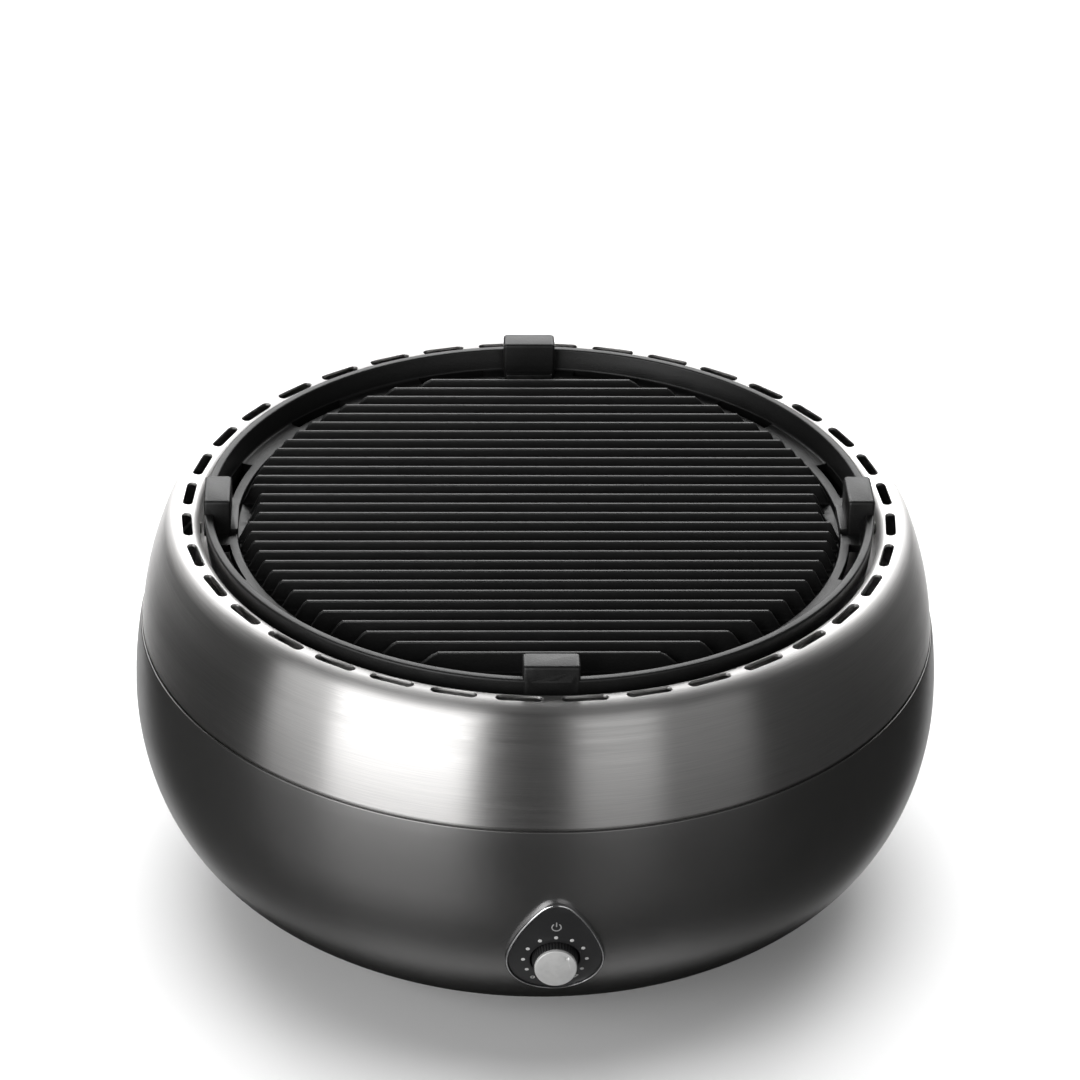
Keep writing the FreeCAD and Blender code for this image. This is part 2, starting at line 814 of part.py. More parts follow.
# ================= base, feet and heat shield =================

box_inner_half = cell_length / 2 + contact_room
box_depth = 4 * cell_radius + 3 * cell_gap + 2 * 0.2
box_end = box_start + box_depth + 2 * box_wall
box_top = base_top + 4 * cell_radius + 3 * cell_gap + box_wall
foot_places = [polar(foot_circle, 45 + 90 * k) for k in range(4)]
post_places = [polar(post_circle, angle) for angle in (0, 180, 270)]
base_places = [polar(base_bolt_circle, 60 * k) for k in range(6)]
ear_places = [V(side * (box_inner_half + box_wall + 4), (box_start + box_end) / 2, 0)
              for side in (-1, 1)]
door_half = box_inner_half + box_wall + 0.5
door_top = base_under - 0.3
door_low = door_top - door_wall


def make_base_plate():
    plate = Part.makeCylinder(base_radius, base_wall, V(0, 0, base_under))
    rail_start = box_start - 1.5
    rail_end = box_end + 1.5
    inside = door_half + door_gap
    for side in (-1, 1):
        wall = [side * inside, side * (inside + rail_width)]
        lip = [side * (inside - 2), side * (inside + rail_width)]
        low = door_low - door_gap - 1.5
        plate = plate.fuse(box((min(wall), rail_start, low), (max(wall), rail_end, base_under + 0.5)))
        plate = plate.fuse(box((min(lip), rail_start, low), (max(lip), rail_end, low + 1.5)))
    hole = Part.makeCylinder(bolt_hole, 10, V(0, 0, base_under - 4))
    cuts = at_places(hole, foot_places + post_places + base_places + fan_places)
    cuts += at_places(Part.makeCylinder(1.5, 10, V(0, 0, base_under - 4)), ear_places)
    cuts.append(Part.makeCylinder(intake_radius, 10, V(0, 0, base_under - 4)))
    cuts.append(box((-box_inner_half, box_start + box_wall, base_under - 1),
                    (box_inner_half, box_end - box_wall, base_top + 1)))
    return plate.removeSplitter().cut(cuts)


def make_rubber_feet():
    foot = Part.makeCone(foot_radius - foot_taper, foot_radius, foot_height)
    foot = foot.makeFillet(1.2, [e for e in foot.Edges if e.BoundBox.ZMax < 0.01])
    foot = foot.cut(Part.makeCylinder(head_radius + 0.9, foot_recess_depth, V(0, 0, -0.01)))
    foot = foot.cut(Part.makeCylinder(bolt_hole, 30, V(0, 0, -1)))
    return Part.makeCompound(at_places(foot, foot_places))


def make_foot_bolts():
    seat = foot_recess_depth - 0.01
    bolt = screw(seat - head_height, seat, base_top + nut_height + thread_end)
    return (Part.makeCompound(at_places(bolt, foot_places)),
            Part.makeCompound(at_places(nut(base_top), foot_places)))


def make_base_bolts():
    end = inner_lip_top + nut_height + thread_end
    bolt = screw(base_under - head_height, base_under, end)
    return (Part.makeCompound(at_places(bolt, base_places)),
            Part.makeCompound(at_places(nut(inner_lip_top), base_places)))


def make_heat_shield():
    top = shield_height
    points = [(neck_outlet + 1.0, top), (shield_radius - 8, top), (shield_radius, top + 6)]
    shield = pressed_sheet(points, [4], sheet)
    return shield.cut(at_places(Part.makeCylinder(bolt_hole, 10, V(0, 0, top - 5)), post_places))


def make_shield_posts():
    top = shield_height - sheet
    post = Part.makeCylinder(post_radius, top - base_top, V(0, 0, base_top))
    for low in (base_top - 1, top - 9):
        post = post.cut(Part.makeCylinder(bolt_radius, 10, V(0, 0, low)))
    return Part.makeCompound(at_places(post, post_places))


def make_post_screws():
    under = base_under
    top = shield_height
    lower = screw(under - head_height, under, base_top + 8)
    upper = screw(top, top - sheet - 8, top)
    return Part.makeCompound(at_places(lower, post_places) + at_places(upper, post_places))


# ================= battery compartment =================

cell_rows = (base_top + 0.2 + cell_radius, base_top + 0.2 + 3 * cell_radius + cell_gap)
cell_columns = (box_start + box_wall + 0.4 + cell_radius,
                box_start + box_wall + 0.4 + 3 * cell_radius + cell_gap)


def cell_places():
    return [V(0, y, z) for z in cell_rows for y in cell_columns]


def make_battery_box():
    half = box_inner_half + box_wall
    body = box((-half, box_start, base_top), (half, box_end, box_top))
    room = box((-box_inner_half, box_start + box_wall, base_top - 1),
               (box_inner_half, box_end - box_wall, box_top - box_wall))
    body = body.cut(room)
    for place in ear_places:
        inner = math.copysign(half - 0.5, place.x)
        outer = place.x + math.copysign(4, place.x)
        low, high = sorted((inner, outer))
        body = body.fuse(box((low, place.y - 5, base_top), (high, place.y + 5, base_top + 3)))
    holes = at_places(Part.makeCylinder(1.5, 10, V(0, 0, base_top - 2)), ear_places)
    return body.removeSplitter().cut(holes)


def make_box_screws():
    body = Part.makeCylinder(1.5, 3 + base_wall, V(0, 0, base_under))
    head = Part.makeCylinder(2.8, 1.8, V(0, 0, base_top + 3))
    cross = box((-2, -0.4, base_top + 4), (2, 0.4, base_top + 6))
    return Part.makeCompound(at_places(body.fuse(head).cut(cross).removeSplitter(), ear_places))


def make_battery_cells():
    shapes = []
    for index, place in enumerate(cell_places()):
        can = Part.makeCylinder(cell_radius, cell_length - 1, V(0, 0, 0), V(1, 0, 0))
        nub = Part.makeCylinder(2.75, 1.2, V(cell_length - 1.2, 0, 0), V(1, 0, 0))
        cell = can.fuse(nub).removeSplitter()
        cell.translate(V(-cell_length / 2, 0, 0))
        if index % 2:
            cell.rotate(V(0, 0, 0), UP, 180)
        cell.translate(place)
        shapes.append(cell)
    return Part.makeCompound(shapes)


def make_battery_contacts():
    shapes = []
    for index, place in enumerate(cell_places()):
        for side in (-1, 1):
            wall = side * box_inner_half
            plate = [wall, wall - side * 0.4]
            blade = box((min(plate), place.y - 5, place.z - 5), (max(plate), place.y + 5, place.z + 5))
            positive = (side > 0) == (index % 2 == 0)
            reach = contact_room - 0.4
            tip = 4.0 if positive else 2.6
            start = V(min(plate[1], plate[1] - side * reach), place.y, place.z)
            shapes.append(blade.fuse(Part.makeCylinder(tip, reach, start, V(1, 0, 0))))
    return Part.makeCompound([shape.removeSplitter() for shape in shapes])


def make_battery_door():
    start = box_start - 1.0
    end = box_end + 1.0
    door = box((-door_half, start, door_low), (door_half, end, door_top))
    grip = []
    for step in range(5):
        y = end - 6 - 3 * step
        grip.append(box((-9, y, door_low - 1), (9, y + 1.2, door_low + 0.6)))
    return door.cut(grip)


# ================= dial =================

def teardrop(grow):
    # outline of the dial plate: lower arc, long flanks, tip arc
    low_r = plate_round + grow
    tip_r = plate_tip_round + grow
    flank_r = plate_flank + grow
    low_c = V(0, 0, 0)
    tip_c = V(0, plate_tip_rise, 0)
    reach_low = plate_flank - plate_round
    reach_tip = plate_flank - plate_tip_round
    y = (reach_low ** 2 - reach_tip ** 2 + plate_tip_rise ** 2) / (2 * plate_tip_rise)
    x = math.sqrt(reach_low ** 2 - y ** 2)
    edges = []
    ends = []
    for side in (-1, 1):
        centre = V(-side * x, y, 0)
        start = centre + (low_c - centre).normalize() * flank_r
        end = centre + (tip_c - centre).normalize() * flank_r
        middle = centre + ((start + end) * 0.5 - centre).normalize() * flank_r
        edges.append(Part.Arc(start, middle, end).toShape())
        ends.append((start, end))
    edges.append(Part.Arc(ends[0][0], V(0, -low_r, 0), ends[1][0]).toShape())
    edges.append(Part.Arc(ends[0][1], V(0, plate_tip_rise + tip_r, 0), ends[1][1]).toShape())
    face = Part.Face(Part.Wire(Part.__sortEdges__(edges)))
    face.translate(V(0, 0, -20))
    return on_dial(face.extrude(V(0, 0, 50)))


def make_dial_plate():
    plate_zone = shell_fill(-plate_wall)
    plate = plate_zone.cut(shell_fill(0)).common(teardrop(0))
    well = dial_tube(well_radius + well_wall, 0, -well_depth, 12).common(plate_zone)
    body = plate.fuse(well)
    body = body.cut(dial_tube(well_radius, 0, -well_depth + 1.5, 14))
    return body.cut(dial_tube(bush_radius + 0.1, 0, -well_depth - 2, 0)).removeSplitter()


def make_dial_lip():
    zone = shell_fill(-lip_height).cut(shell_fill(0))
    return zone.common(teardrop(lip_width).cut(teardrop(0.02)))


def make_dial_ring_nut():
    outer = well_radius + well_wall + 4.5
    ring = dial_tube(outer, well_radius + well_wall, -well_depth + 0.5, 6)
    return ring.common(shell_fill(shell_wall + 0.02))


pot_front = -well_depth


def make_potentiometer():
    body = tube(pot_radius, 0, pot_front - pot_length, pot_front)
    bush = tube(bush_radius, 0, pot_front - 1, pot_front + 4)
    block_end = pot_front - pot_length - pot_block
    block = box((-7, -3, block_end), (7, 3, block_end + pot_block + 1))
    body = body.fuse([bush, block]).removeSplitter()
    bore = Part.makeCylinder(pot_shaft + running_gap, 20, V(0, 0, pot_front - 3))
    return on_dial(body.cut(bore))


def make_pot_nut():
    low = pot_front + 1.5
    body = hexagon(pot_nut_radius, low, pot_nut_height)
    return on_dial(body.cut(Part.makeCylinder(bush_radius, 6, V(0, 0, low - 2))))


def make_pot_shaft():
    return dial_tube(pot_shaft, 0, pot_front - 2, knob_front - 3)


def make_knob():
    sections = []
    for height, radius in ((knob_back, knob_radius), (knob_front, knob_front_radius)):
        points = []
        for step in range(2 * knurl_count):
            reach = radius - (knurl_depth if step % 2 else 0)
            points.append(polar(reach, 180.0 * step / knurl_count, height))
        sections.append(Part.makePolygon(points + points[:1]))
    knob = Part.makeLoft(sections, True, True)
    bore = Part.makeCylinder(pot_shaft, knob_front - 3 - knob_back + 1, V(0, 0, knob_back - 1))
    return on_dial(knob.cut(bore))


def make_knob_cap():
    cap = tube(cap_radius, 0, knob_front, knob_front + cap_wall)
    top = knob_front + cap_wall
    cap = cap.makeFillet(0.5, [e for e in cap.Edges if e.BoundBox.ZMin > top - 0.01])
    spot = polar(pointer_radius, 90 - pointer_angle, top + 0.35)
    return on_dial(cap.cut(Part.makeSphere(pointer_dimple, spot)))


# ================= internal wires =================

def wire_tube(points, name):
    # round lead along straight runs joined by large tangent arcs
    rounds = []
    for before, corner, after in zip(points, points[1:], points[2:]):
        back = before - corner
        ahead = after - corner
        half = back.getAngle(ahead) / 2
        rounds.append(0.45 * min(back.Length, ahead.Length) * math.tan(half))
    path = Part.Wire(rounded_edges(points, rounds))
    section = Part.Wire(Part.makeCircle(wire_radius, points[0], points[1] - points[0]))
    lead = path.makePipeShell([section], True, False)
    print(name, "length", round(path.Length, 1), "smallest bend", round(min(rounds), 1))
    return lead


lead_start = dial_reach + pot_front - pot_length - pot_block


def pot_terminal(side):
    return dial_out * lead_start + dial_right * (side * wire_side) + UP * dial_height


def battery_lead_points():
    level = base_top
    start = V(box_inner_half + box_wall, (box_start + box_end) / 2, level + 18)
    end = pot_terminal(1)
    clear = fan_flange + 20     # the lead passes the fan at about this radius
    return [start, V(50, start.y - 7, level + 20), V(clear - 4, 44, level + 22),
            V(clear, 12, level + 24), V(clear - 6, -22, level + 26), V(54, -54, level + 30),
            V(40, -84, level + 36), V(26, 38 - lead_start, dial_height - 11),
            V(12, 16 - lead_start, dial_height - 3), end]


def motor_lead_points():
    level = base_top
    end = polar(motor_radius + 4, wire_angle, wire_height)
    start = pot_terminal(-1)
    return [start, V(-4, 16 - lead_start, dial_height - 3), V(-16, 36 - lead_start, dial_height - 10),
            V(-36, -92, level + 34), V(-52, -66, level + 24),
            polar(fan_flange + 10, wire_angle, wire_height), end]


# ================= build =================

def main():
    save("outer_shell", make_outer_shell())
    save("steel_collar", make_steel_collar())
    save("bowl_seat_ring", make_seat_ring())
    save("seat_rivets", make_seat_rivets())
    save("joint_ring", make_joint_ring())
    collar_bolts, collar_nuts = make_collar_bolts()
    save("collar_screws", collar_bolts)
    save("collar_nuts", collar_nuts)

    save("grill_pan", make_grill_pan())
    save("inner_bowl", make_inner_bowl())
    save("burner_cap", make_burner_cap())
    save("fuel_tray", make_fuel_tray())
    save("charcoal_basket", make_charcoal_basket())
    save("basket_lid", make_basket_lid())
    save("lid_loop", make_lid_loop())

    save("fan_duct", make_fan_duct())
    save("duct_cone", make_duct_cone())
    save("motor_bracket", make_motor_bracket())
    save("fan_motor", make_fan_motor())
    save("impeller", make_impeller())
    save("motor_shaft", make_motor_shaft())
    save("intake_grille", make_intake_grille())
    fan_bolts, fan_nuts = make_fan_bolts()
    save("fan_screws", fan_bolts)
    save("fan_nuts", fan_nuts)

    save("base_plate", make_base_plate())
    base_bolts, base_nuts = make_base_bolts()
    save("base_screws", base_bolts)
    save("base_nuts", base_nuts)
    save("rubber_feet", make_rubber_feet())
    foot_bolts, foot_nuts = make_foot_bolts()
    save("foot_screws", foot_bolts)
    save("foot_nuts", foot_nuts)
    save("heat_shield", make_heat_shield())
    save("shield_posts", make_shield_posts())
    save("post_screws", make_post_screws())

    save("battery_box", make_battery_box())
    save("box_screws", make_box_screws())
    save("battery_cells", make_battery_cells())
    save("battery_contacts", make_battery_contacts())
    save("battery_door", make_battery_door())

    save("dial_plate", make_dial_plate())
    save("dial_lip", make_dial_lip())
    save("dial_ring_nut", make_dial_ring_nut())
    save("potentiometer", make_potentiometer())
    save("pot_nut", make_pot_nut())
    save("pot_shaft", make_pot_shaft())
    save("knob_body", make_knob())
    save("knob_cap", make_knob_cap())

    save("battery_lead", wire_tube(battery_lead_points(), "battery lead"))
    save("motor_lead", wire_tube(motor_lead_points(), "motor lead"))
    print("height", round(rim_height + lug_rise, 1), "diameter", round(2 * body_radius, 1))


main()
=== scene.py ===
import json
import math

import bmesh
import bpy
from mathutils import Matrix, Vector


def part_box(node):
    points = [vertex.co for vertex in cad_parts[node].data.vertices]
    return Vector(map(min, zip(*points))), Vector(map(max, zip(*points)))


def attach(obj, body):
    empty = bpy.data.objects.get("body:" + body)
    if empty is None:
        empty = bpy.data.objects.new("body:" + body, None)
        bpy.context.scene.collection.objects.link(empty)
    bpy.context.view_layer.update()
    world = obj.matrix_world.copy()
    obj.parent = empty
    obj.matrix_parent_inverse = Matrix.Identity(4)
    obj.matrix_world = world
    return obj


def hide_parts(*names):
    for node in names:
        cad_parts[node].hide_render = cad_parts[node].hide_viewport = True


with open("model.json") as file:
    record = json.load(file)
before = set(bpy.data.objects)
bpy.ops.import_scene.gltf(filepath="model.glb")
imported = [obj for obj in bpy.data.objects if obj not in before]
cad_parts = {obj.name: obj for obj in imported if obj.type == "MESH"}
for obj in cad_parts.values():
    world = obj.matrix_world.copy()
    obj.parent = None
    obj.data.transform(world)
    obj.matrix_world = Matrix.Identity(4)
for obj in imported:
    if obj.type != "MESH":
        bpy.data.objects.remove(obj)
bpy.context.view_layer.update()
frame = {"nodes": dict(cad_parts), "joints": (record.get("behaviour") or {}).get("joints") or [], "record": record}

mm = 0.001
cadNodes = frame["nodes"]
scene = bpy.context.scene


def nodeBox(name):  # a node's corners in millimetres
    low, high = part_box(name)
    return low / mm, high / mm


panLow, panHigh = nodeBox("grill_pan")
collarLow = nodeBox("steel_collar")[0]
shellHigh = nodeBox("outer_shell")[1]


# shader node groups that several finishes share

def newGroup(name, inputs, outputs):
    group = bpy.data.node_groups.new(name, "ShaderNodeTree")
    for label, value in inputs:
        socket = group.interface.new_socket(label, in_out="INPUT", socket_type="NodeSocketFloat")
        socket.default_value = value
    for label in outputs:
        group.interface.new_socket(label, in_out="OUTPUT", socket_type="NodeSocketFloat")
    return group, group.nodes.new("NodeGroupInput"), group.nodes.new("NodeGroupOutput")


def addNode(tree, kind, **settings):
    node = tree.nodes.new(kind)
    for key, value in settings.items():
        setattr(node, key, value)
    return node


def addMath(tree, operation, first, second=None, clamp=False):
    node = addNode(tree, "ShaderNodeMath", operation=operation, use_clamp=clamp)
    for index, value in enumerate((first, second)):
        if value is None:
            continue
        if hasattr(value, "is_linked"):
            tree.links.new(value, node.inputs[index])
        else:
            node.inputs[index].default_value = value
    return node.outputs[0]


def addRange(tree, source, low, high):
    ramp = addNode(tree, "ShaderNodeMapRange")
    tree.links.new(source, ramp.inputs["Value"])
    ramp.inputs["From Min"].default_value = low
    ramp.inputs["From Max"].default_value = high
    return ramp.outputs["Result"]


def addNoise(tree, place, size, detail, rough=0.5, distortion=0.0):
    # noise whose pattern is about as large as size, given in millimetres
    noise = addNode(tree, "ShaderNodeTexNoise")
    noise.inputs["Detail"].default_value = detail
    noise.inputs["Roughness"].default_value = rough
    noise.inputs["Distortion"].default_value = distortion
    tree.links.new(place, noise.inputs["Vector"])
    tree.links.new(addMath(tree, "DIVIDE", 1000.0, size), noise.inputs["Scale"])
    return noise.outputs["Fac"]


def makeGrain():
    # fine pebbled grain of cast, painted or moulded faces, with broad cloudiness
    group, given, out = newGroup("surfaceGrain", [("Grain Size", 1.0), ("Cloud Size", 30.0)],
                                 ["Height", "Cloud"])
    place = addNode(group, "ShaderNodeTexCoord").outputs["Object"]
    fine = addNoise(group, place, given.outputs["Grain Size"], 3.0, 0.6)
    broad = addNoise(group, place, given.outputs["Cloud Size"], 4.0, 0.6)
    group.links.new(addRange(group, fine, 0.28, 0.72), out.inputs["Height"])
    group.links.new(addRange(group, broad, 0.3, 0.7), out.inputs["Cloud"])
    return group


def makeEdgeWear():
    # mask of outer edges, broken up by noise
    group, given, out = newGroup("edgeWear", [("Sharpness", 8.0), ("Break Up", 6.0)], ["Wear"])
    shape = addNode(group, "ShaderNodeNewGeometry")
    place = addNode(group, "ShaderNodeTexCoord").outputs["Object"]
    patchy = addNoise(group, place, given.outputs["Break Up"], 4.0)
    rise = addMath(group, "SUBTRACT", shape.outputs["Pointiness"], 0.5)
    edge = addMath(group, "MULTIPLY", rise, given.outputs["Sharpness"], clamp=True)
    broken = addMath(group, "MULTIPLY", edge, addRange(group, patchy, 0.35, 0.65))
    group.links.new(broken, out.inputs["Wear"])
    return group


def makeBrushing():
    # long fine lines around the vertical axis, or along X where Around is 0
    group, given, out = newGroup("brushedLines", [("Line Pitch", 0.12), ("Stretch", 60.0), ("Around", 1.0)],
                                 ["Lines", "Bands"])
    split = addNode(group, "ShaderNodeSeparateXYZ")
    group.links.new(addNode(group, "ShaderNodeTexCoord").outputs["Object"], split.inputs[0])
    x, y, z = split.outputs
    flat = addMath(group, "SQRT", addMath(group, "ADD", addMath(group, "MULTIPLY", x, x),
                                          addMath(group, "MULTIPLY", y, y)))
    run = addMath(group, "MULTIPLY", addMath(group, "ARCTAN2", y, x), flat)
    onAround = given.outputs["Around"]
    offAround = addMath(group, "SUBTRACT", 1.0, onAround)
    along = addMath(group, "ADD", addMath(group, "MULTIPLY", run, onAround),
                    addMath(group, "MULTIPLY", x, offAround))
    across = addMath(group, "ADD", addMath(group, "MULTIPLY", flat, onAround),
                     addMath(group, "MULTIPLY", y, offAround))
    scale = addMath(group, "DIVIDE", 1000.0, given.outputs["Line Pitch"])
    shrink = addMath(group, "DIVIDE", scale, given.outputs["Stretch"])
    for output, coarse in (("Lines", 1.0), ("Bands", 14.0)):
        joined = addNode(group, "ShaderNodeCombineXYZ")
        group.links.new(addMath(group, "MULTIPLY", along, addMath(group, "DIVIDE", shrink, coarse)),
                        joined.inputs[0])
        fineness = addMath(group, "DIVIDE", scale, coarse)
        group.links.new(addMath(group, "MULTIPLY", across, fineness), joined.inputs[1])
        group.links.new(addMath(group, "MULTIPLY", z, fineness), joined.inputs[2])
        noise = addNode(group, "ShaderNodeTexNoise")
        noise.inputs["Scale"].default_value = 1.0
        noise.inputs["Detail"].default_value = 3.0
        group.links.new(joined.outputs[0], noise.inputs["Vector"])
        group.links.new(addRange(group, noise.outputs["Fac"], 0.3, 0.7), out.inputs[output])
    return group


def makeMarks():
    # sparse handling smudges, and fine dust in hollows
    group, given, out = newGroup("handlingMarks", [("Smudge Size", 18.0), ("Amount", 0.5)],
                                 ["Smudges", "Dust"])
    place = addNode(group, "ShaderNodeTexCoord").outputs["Object"]
    smudge = addNoise(group, place, given.outputs["Smudge Size"], 6.0, 0.5, 1.2)
    spots = addRange(group, smudge, 0.5, 0.72)
    group.links.new(addMath(group, "MULTIPLY", spots, given.outputs["Amount"]), out.inputs["Smudges"])
    speck = addRange(group, addNoise(group, place, 1.1, 2.0), 0.4, 0.7)
    shape = addNode(group, "ShaderNodeNewGeometry")
    hollow = addRange(group, shape.outputs["Pointiness"], 0.49, 0.42)
    dust = addMath(group, "MULTIPLY", hollow, speck)
    group.links.new(addMath(group, "MULTIPLY", dust, given.outputs["Amount"]), out.inputs["Dust"])
    return group


grainGroup = makeGrain()
wearGroup = makeEdgeWear()
brushGroup = makeBrushing()
marksGroup = makeMarks()
print("shared effects ready")


# finishes

class Finish:
    # one material and the handles used while its nodes are laid
    def __init__(self, name, **surface):
        self.material = bpy.data.materials.new(name)
        self.material.use_nodes = True
        self.tree = self.material.node_tree
        self.shader = self.tree.nodes["Principled BSDF"]
        for label, value in surface.items():
            self.shader.inputs[label.replace("_", " ")].default_value = value

    def group(self, group, **values):
        node = addNode(self.tree, "ShaderNodeGroup", node_tree=group)
        for label, value in values.items():
            node.inputs[label.replace("_", " ")].default_value = value
        return node.outputs

    def mixColour(self, mask, first, second):
        mix = addNode(self.tree, "ShaderNodeMix", data_type="RGBA")
        self.tree.links.new(mask, mix.inputs["Factor"])
        for socket, value in ((mix.inputs[6], first), (mix.inputs[7], second)):
            if hasattr(value, "is_linked"):
                self.tree.links.new(value, socket)
            else:
                socket.default_value = (*value, 1.0)
        return mix.outputs[2]

    def mixValue(self, mask, first, second):
        ramp = addNode(self.tree, "ShaderNodeMapRange")
        self.tree.links.new(mask, ramp.inputs["Value"])
        ramp.inputs["To Min"].default_value = first
        ramp.inputs["To Max"].default_value = second
        return ramp.outputs["Result"]

    def link(self, source, label):
        self.tree.links.new(source, self.shader.inputs[label])

    def bump(self, height, strength, depth):
        node = addNode(self.tree, "ShaderNodeBump")
        node.inputs["Strength"].default_value = strength
        node.inputs["Distance"].default_value = depth * mm
        self.tree.links.new(height, node.inputs["Height"])
        self.link(node.outputs["Normal"], "Normal")


paint = {"colour": (0.23, 0.227, 0.225), "deep": (0.21, 0.208, 0.206), "roughness": (0.28, 0.34),
         "metallic": 0.9, "coat": 0.2, "coatRoughness": 0.3, "peel": 2.5, "cloud": 60.0,
         "peelStrength": 0.08, "peelDepth": 0.04}


def makeShellPaint():
    finish = Finish("shellPaint", Metallic=paint["metallic"], Roughness=0.36, Coat_Weight=paint["coat"],
                    Coat_Roughness=paint["coatRoughness"])
    grain = finish.group(grainGroup, Grain_Size=paint["peel"], Cloud_Size=paint["cloud"])
    marks = finish.group(marksGroup, Smudge_Size=40.0, Amount=0.35)
    finish.link(finish.mixColour(grain["Cloud"], paint["deep"], paint["colour"]), "Base Color")
    finish.link(finish.mixValue(marks["Smudges"], *paint["roughness"]), "Roughness")
    finish.bump(grain["Height"], paint["peelStrength"], paint["peelDepth"])
    return finish.material


steel = {"colour": (0.72, 0.71, 0.70), "streak": (0.60, 0.595, 0.59), "roughness": (0.32, 0.38),
         "anisotropy": 0.95, "flatAnisotropy": 0.4, "pitch": 0.16, "stretch": 140.0,
         "dust": (0.3, 0.29, 0.28), "lineStrength": 0.12, "lineDepth": 0.012}


def makeBrushedSteel(name, around, tint=1.0, roughness=None):
    rough = roughness or steel["roughness"]
    finish = Finish(name, Metallic=1.0, Roughness=sum(rough) / 2,
                    Anisotropic=steel["anisotropy" if around else "flatAnisotropy"],
                    Anisotropic_Rotation=0.25)
    brush = finish.group(brushGroup, Line_Pitch=steel["pitch"], Stretch=steel["stretch"],
                         Around=1.0 if around else 0.0)
    marks = finish.group(marksGroup, Smudge_Size=30.0, Amount=0.3)
    light = tuple(c * tint for c in steel["colour"])
    dark = tuple(c * tint for c in steel["streak"])
    colour = finish.mixColour(brush["Lines"], dark, light)
    finish.link(finish.mixColour(marks["Dust"], colour, steel["dust"]), "Base Color")
    finish.link(finish.mixValue(brush["Bands"], *rough), "Roughness")
    if around:
        tangent = addNode(finish.tree, "ShaderNodeTangent", direction_type="RADIAL", axis="Z")
        finish.link(tangent.outputs[0], "Tangent")
    finish.bump(brush["Lines"], steel["lineStrength"], steel["lineDepth"])
    return finish.material


coating = {"colour": (0.006, 0.006, 0.006), "speck": (0.012, 0.012, 0.012), "worn": (0.04, 0.04, 0.04),
           "roughness": (0.34, 0.44), "grain": 0.6, "cloud": 22.0, "grainStrength": 0.4,
           "grainDepth": 0.10}


def makePanCoating():
    finish = Finish("panCoating", Roughness=0.4)
    grain = finish.group(grainGroup, Grain_Size=coating["grain"], Cloud_Size=coating["cloud"])
    wear = finish.group(wearGroup, Sharpness=5.0, Break_Up=5.0)
    base = finish.mixColour(grain["Height"], coating["colour"], coating["speck"])
    finish.link(finish.mixColour(wear["Wear"], base, coating["worn"]), "Base Color")
    finish.link(finish.mixValue(grain["Cloud"], *coating["roughness"]), "Roughness")
    finish.bump(grain["Height"], coating["grainStrength"], coating["grainDepth"])
    return finish.material


def makePlastic(name, colour, rough, grainSize, depth):
    finish = Finish(name, Roughness=sum(rough) / 2)
    grain = finish.group(grainGroup, Grain_Size=grainSize, Cloud_Size=25.0)
    wear = finish.group(wearGroup, Sharpness=5.0, Break_Up=4.0)
    marks = finish.group(marksGroup, Smudge_Size=14.0, Amount=0.5)
    dark = tuple(c * 0.8 for c in colour)
    lightened = tuple(min(1.0, c * 1.8 + 0.02) for c in colour)
    base = finish.mixColour(grain["Cloud"], dark, colour)
    worn = finish.mixColour(wear["Wear"], base, lightened)
    finish.link(finish.mixColour(marks["Dust"], worn, (0.2, 0.19, 0.18)), "Base Color")
    finish.link(finish.mixValue(grain["Cloud"], *rough), "Roughness")
    finish.bump(grain["Height"], 0.3, depth)
    return finish.material


def makeMetal(name, colour, rough, grainSize=1.2, depth=0.01, metallic=1.0):
    finish = Finish(name, Metallic=metallic, Roughness=sum(rough) / 2)
    grain = finish.group(grainGroup, Grain_Size=grainSize, Cloud_Size=12.0)
    wear = finish.group(wearGroup, Sharpness=6.0, Break_Up=3.0)
    marks = finish.group(marksGroup, Smudge_Size=10.0, Amount=0.5)
    dull = tuple(c * 0.82 for c in colour)
    bright = tuple(min(1.0, c * 1.15) for c in colour)
    base = finish.mixColour(grain["Cloud"], dull, colour)
    finish.link(finish.mixColour(wear["Wear"], base, bright), "Base Color")
    finish.link(finish.mixValue(marks["Smudges"], *rough), "Roughness")
    finish.bump(grain["Height"], 0.15, depth)
    return finish.material


def makePrint(name, colour):
    # pad-printed ink with slight unevenness
    finish = Finish(name, Roughness=0.5)
    grain = finish.group(grainGroup, Grain_Size=0.3, Cloud_Size=3.0)
    thin = tuple(c * 0.88 for c in colour)
    finish.link(finish.mixColour(grain["Cloud"], thin, colour), "Base Color")
    finish.bump(grain["Height"], 0.2, 0.01)
    return finish.material


